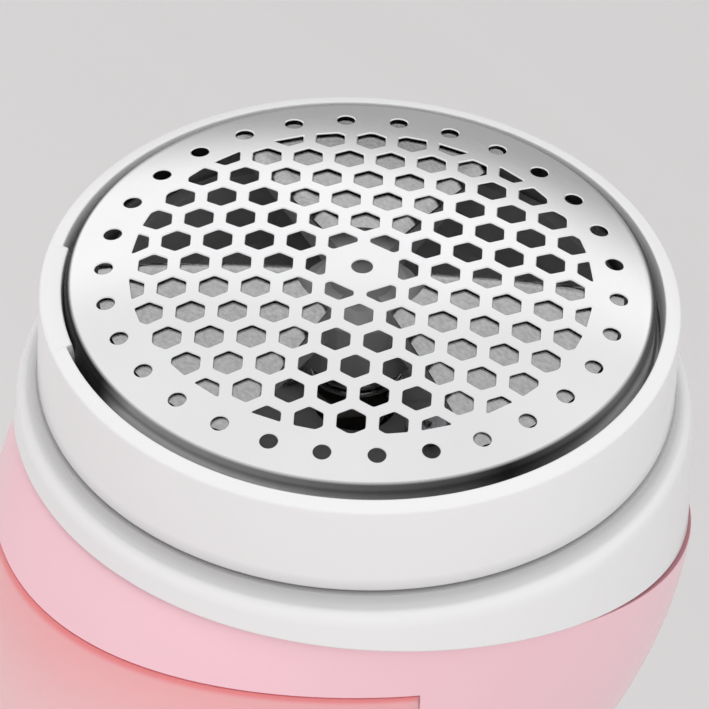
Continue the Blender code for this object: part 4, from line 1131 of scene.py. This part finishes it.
# ---- carried-over CAD pieces ---------------------------------------------------------------------


def dress_nodes(materials):
    """Gives every CAD node that still shows its material, and softens its edges."""
    slots = {entry["node"]: entry["material_slot"] for entry in frame["record"]["subparts"]}
    for name, obj in frame["nodes"].items():
        obj.data.materials.clear()
        obj.data.materials.append(materials[slots[name]])
        if obj.hide_render:
            continue
        weld = obj.modifiers.new("weld", "WELD")
        weld.merge_threshold = 0.000001
        bevel = obj.modifiers.new("soft_edges", "BEVEL")
        bevel.width = 0.00008
        bevel.segments = 2
        bevel.limit_method = "ANGLE"
        bevel.angle_limit = radians(35)
        bevel.harden_normals = False


# ---- stage ---------------------------------------------------------------------------------------


def make_stage():
    """A pale round floor whose rim sweeps up, far enough out to hold a camera on any side."""
    n = Nodes("stage")
    tone = n.blend(n.noise(3.0, 2.0), (0.80, 0.78, 0.78), (0.84, 0.82, 0.82))
    sheet_material = n.set(Base_Color=tone, Roughness=0.9)
    steps, sides = 12, 96
    verts = []
    for k in range(steps + 1):
        turned = k * pi / 2 / steps
        radius, height = STAGE_RADIUS - STAGE_RISE * (1 - sin(turned)), STAGE_RISE * (1 - cos(turned))
        verts += [polar(radius, angle, height - STAGE_DROP) for angle in even_angles(sides)]
    faces = [tuple(range(sides))]
    for start in range(0, sides * steps, sides):
        for j in range(sides):
            k = (j + 1) % sides
            faces.append((start + j, start + k, start + sides + k, start + sides + j))
    piece("studio_sheet", verts, faces, sheet_material)


def make_world():
    """Studio light: even for matt surfaces. Polished ones see a pale sky with a brighter and a dim side."""
    n = Nodes("studio", bpy.data.worlds)
    bpy.context.scene.world = n.owner
    where = n.add("ShaderNodeTexCoord").outputs["Generated"]
    parts = n.add("ShaderNodeSeparateXYZ", Vector=where)
    x, y = parts.outputs["X"], parts.outputs["Y"]
    slopes = []
    for share, start, end, tone_at_start, tone_at_end in (SKY_BAND, SKY_DIM):
        slopes.append(n.spread(n.maths("MULTIPLY_ADD", x, share, y), tone_at_start, tone_at_end, start, end))
    polished = n.maths("MULTIPLY", *slopes)
    seen = n.add("ShaderNodeLightPath").outputs["Is Diffuse Ray"]
    level = n.add("ShaderNodeMix", {"data_type": "FLOAT"})
    for index, value in ((0, seen), (2, polished), (3, EVEN_LIGHT)):
        n.feed(level.inputs[index], value)
    background = n.tree.nodes["Background"]
    n.feed(background.inputs["Color"], (1.0, 1.0, 1.0, 1.0))
    n.feed(background.inputs["Strength"], level.outputs[0])


def make_lamp(name, place, size, power):
    """A square soft light aimed at the head, which polished surfaces do not mirror."""
    data = bpy.data.lights.new(name, "AREA")
    data.shape = "RECTANGLE"
    data.size = data.size_y = size * MM
    data.energy = power
    lamp = bpy.data.objects.new(name, data)
    lamp.location = Vector(place) * MM
    lamp.rotation_euler = (HEAD_AT - Vector(place)).to_track_quat("-Z", "Y").to_euler()
    lamp.visible_glossy = False
    bpy.context.scene.collection.objects.link(lamp)


def make_camera():
    """A long lens that looks down on the head from the object's front and right."""
    turn, elevation, roll = radians(140), radians(40.16), radians(-3.05)
    distance, lens, sensor = 824.0, 438.2, 36.0
    chin, aside = -HEAD_BACK, Vector((1, 0, 0))
    across = chin * cos(turn) + aside * sin(turn)
    away = chin * cos(turn + pi / 2) + aside * sin(turn + pi / 2)
    place = HEAD_AT + distance * (HEAD_UP * sin(elevation) - away * cos(elevation))
    forward = (HEAD_AT - place).normalized()
    upright = HEAD_UP * cos(elevation) + away * sin(elevation)
    right = across * cos(roll) - upright * sin(roll)
    up = across * sin(roll) + upright * cos(roll)
    data = bpy.data.cameras.new("camera")
    data.lens, data.sensor_width = lens, sensor
    data.shift_x, data.shift_y = -0.0109, -0.1251
    data.clip_end = 20.0
    camera = bpy.data.objects.new("camera", data)
    turned = Matrix((right, up, -forward)).transposed().to_4x4()
    camera.matrix_world = Matrix.Translation(place * MM) @ turned
    bpy.context.scene.collection.objects.link(camera)
    bpy.context.scene.camera = camera


def build():
    materials = make_materials()
    make_foil(materials["foil_steel"])
    make_ring(materials["white_plastic"])
    make_collar(materials["white_plastic"])
    make_blades(materials["blade_steel"])
    make_blade_spring(materials["spring_steel"])
    make_rear_shell(materials["pale_pink_plastic"])
    make_front_shell(materials["pale_pink_plastic"])
    make_bin(materials["coral_plastic"])
    make_slider(materials["white_plastic"])
    make_lens(materials["lens"])
    make_base(materials["white_plastic"], materials["rubber"])
    dress_nodes(materials)
    make_stage()
    make_world()
    for lamp in LAMPS:
        make_lamp(*lamp)
    make_camera()
    bpy.context.scene.view_settings.view_transform = "Standard"


build()
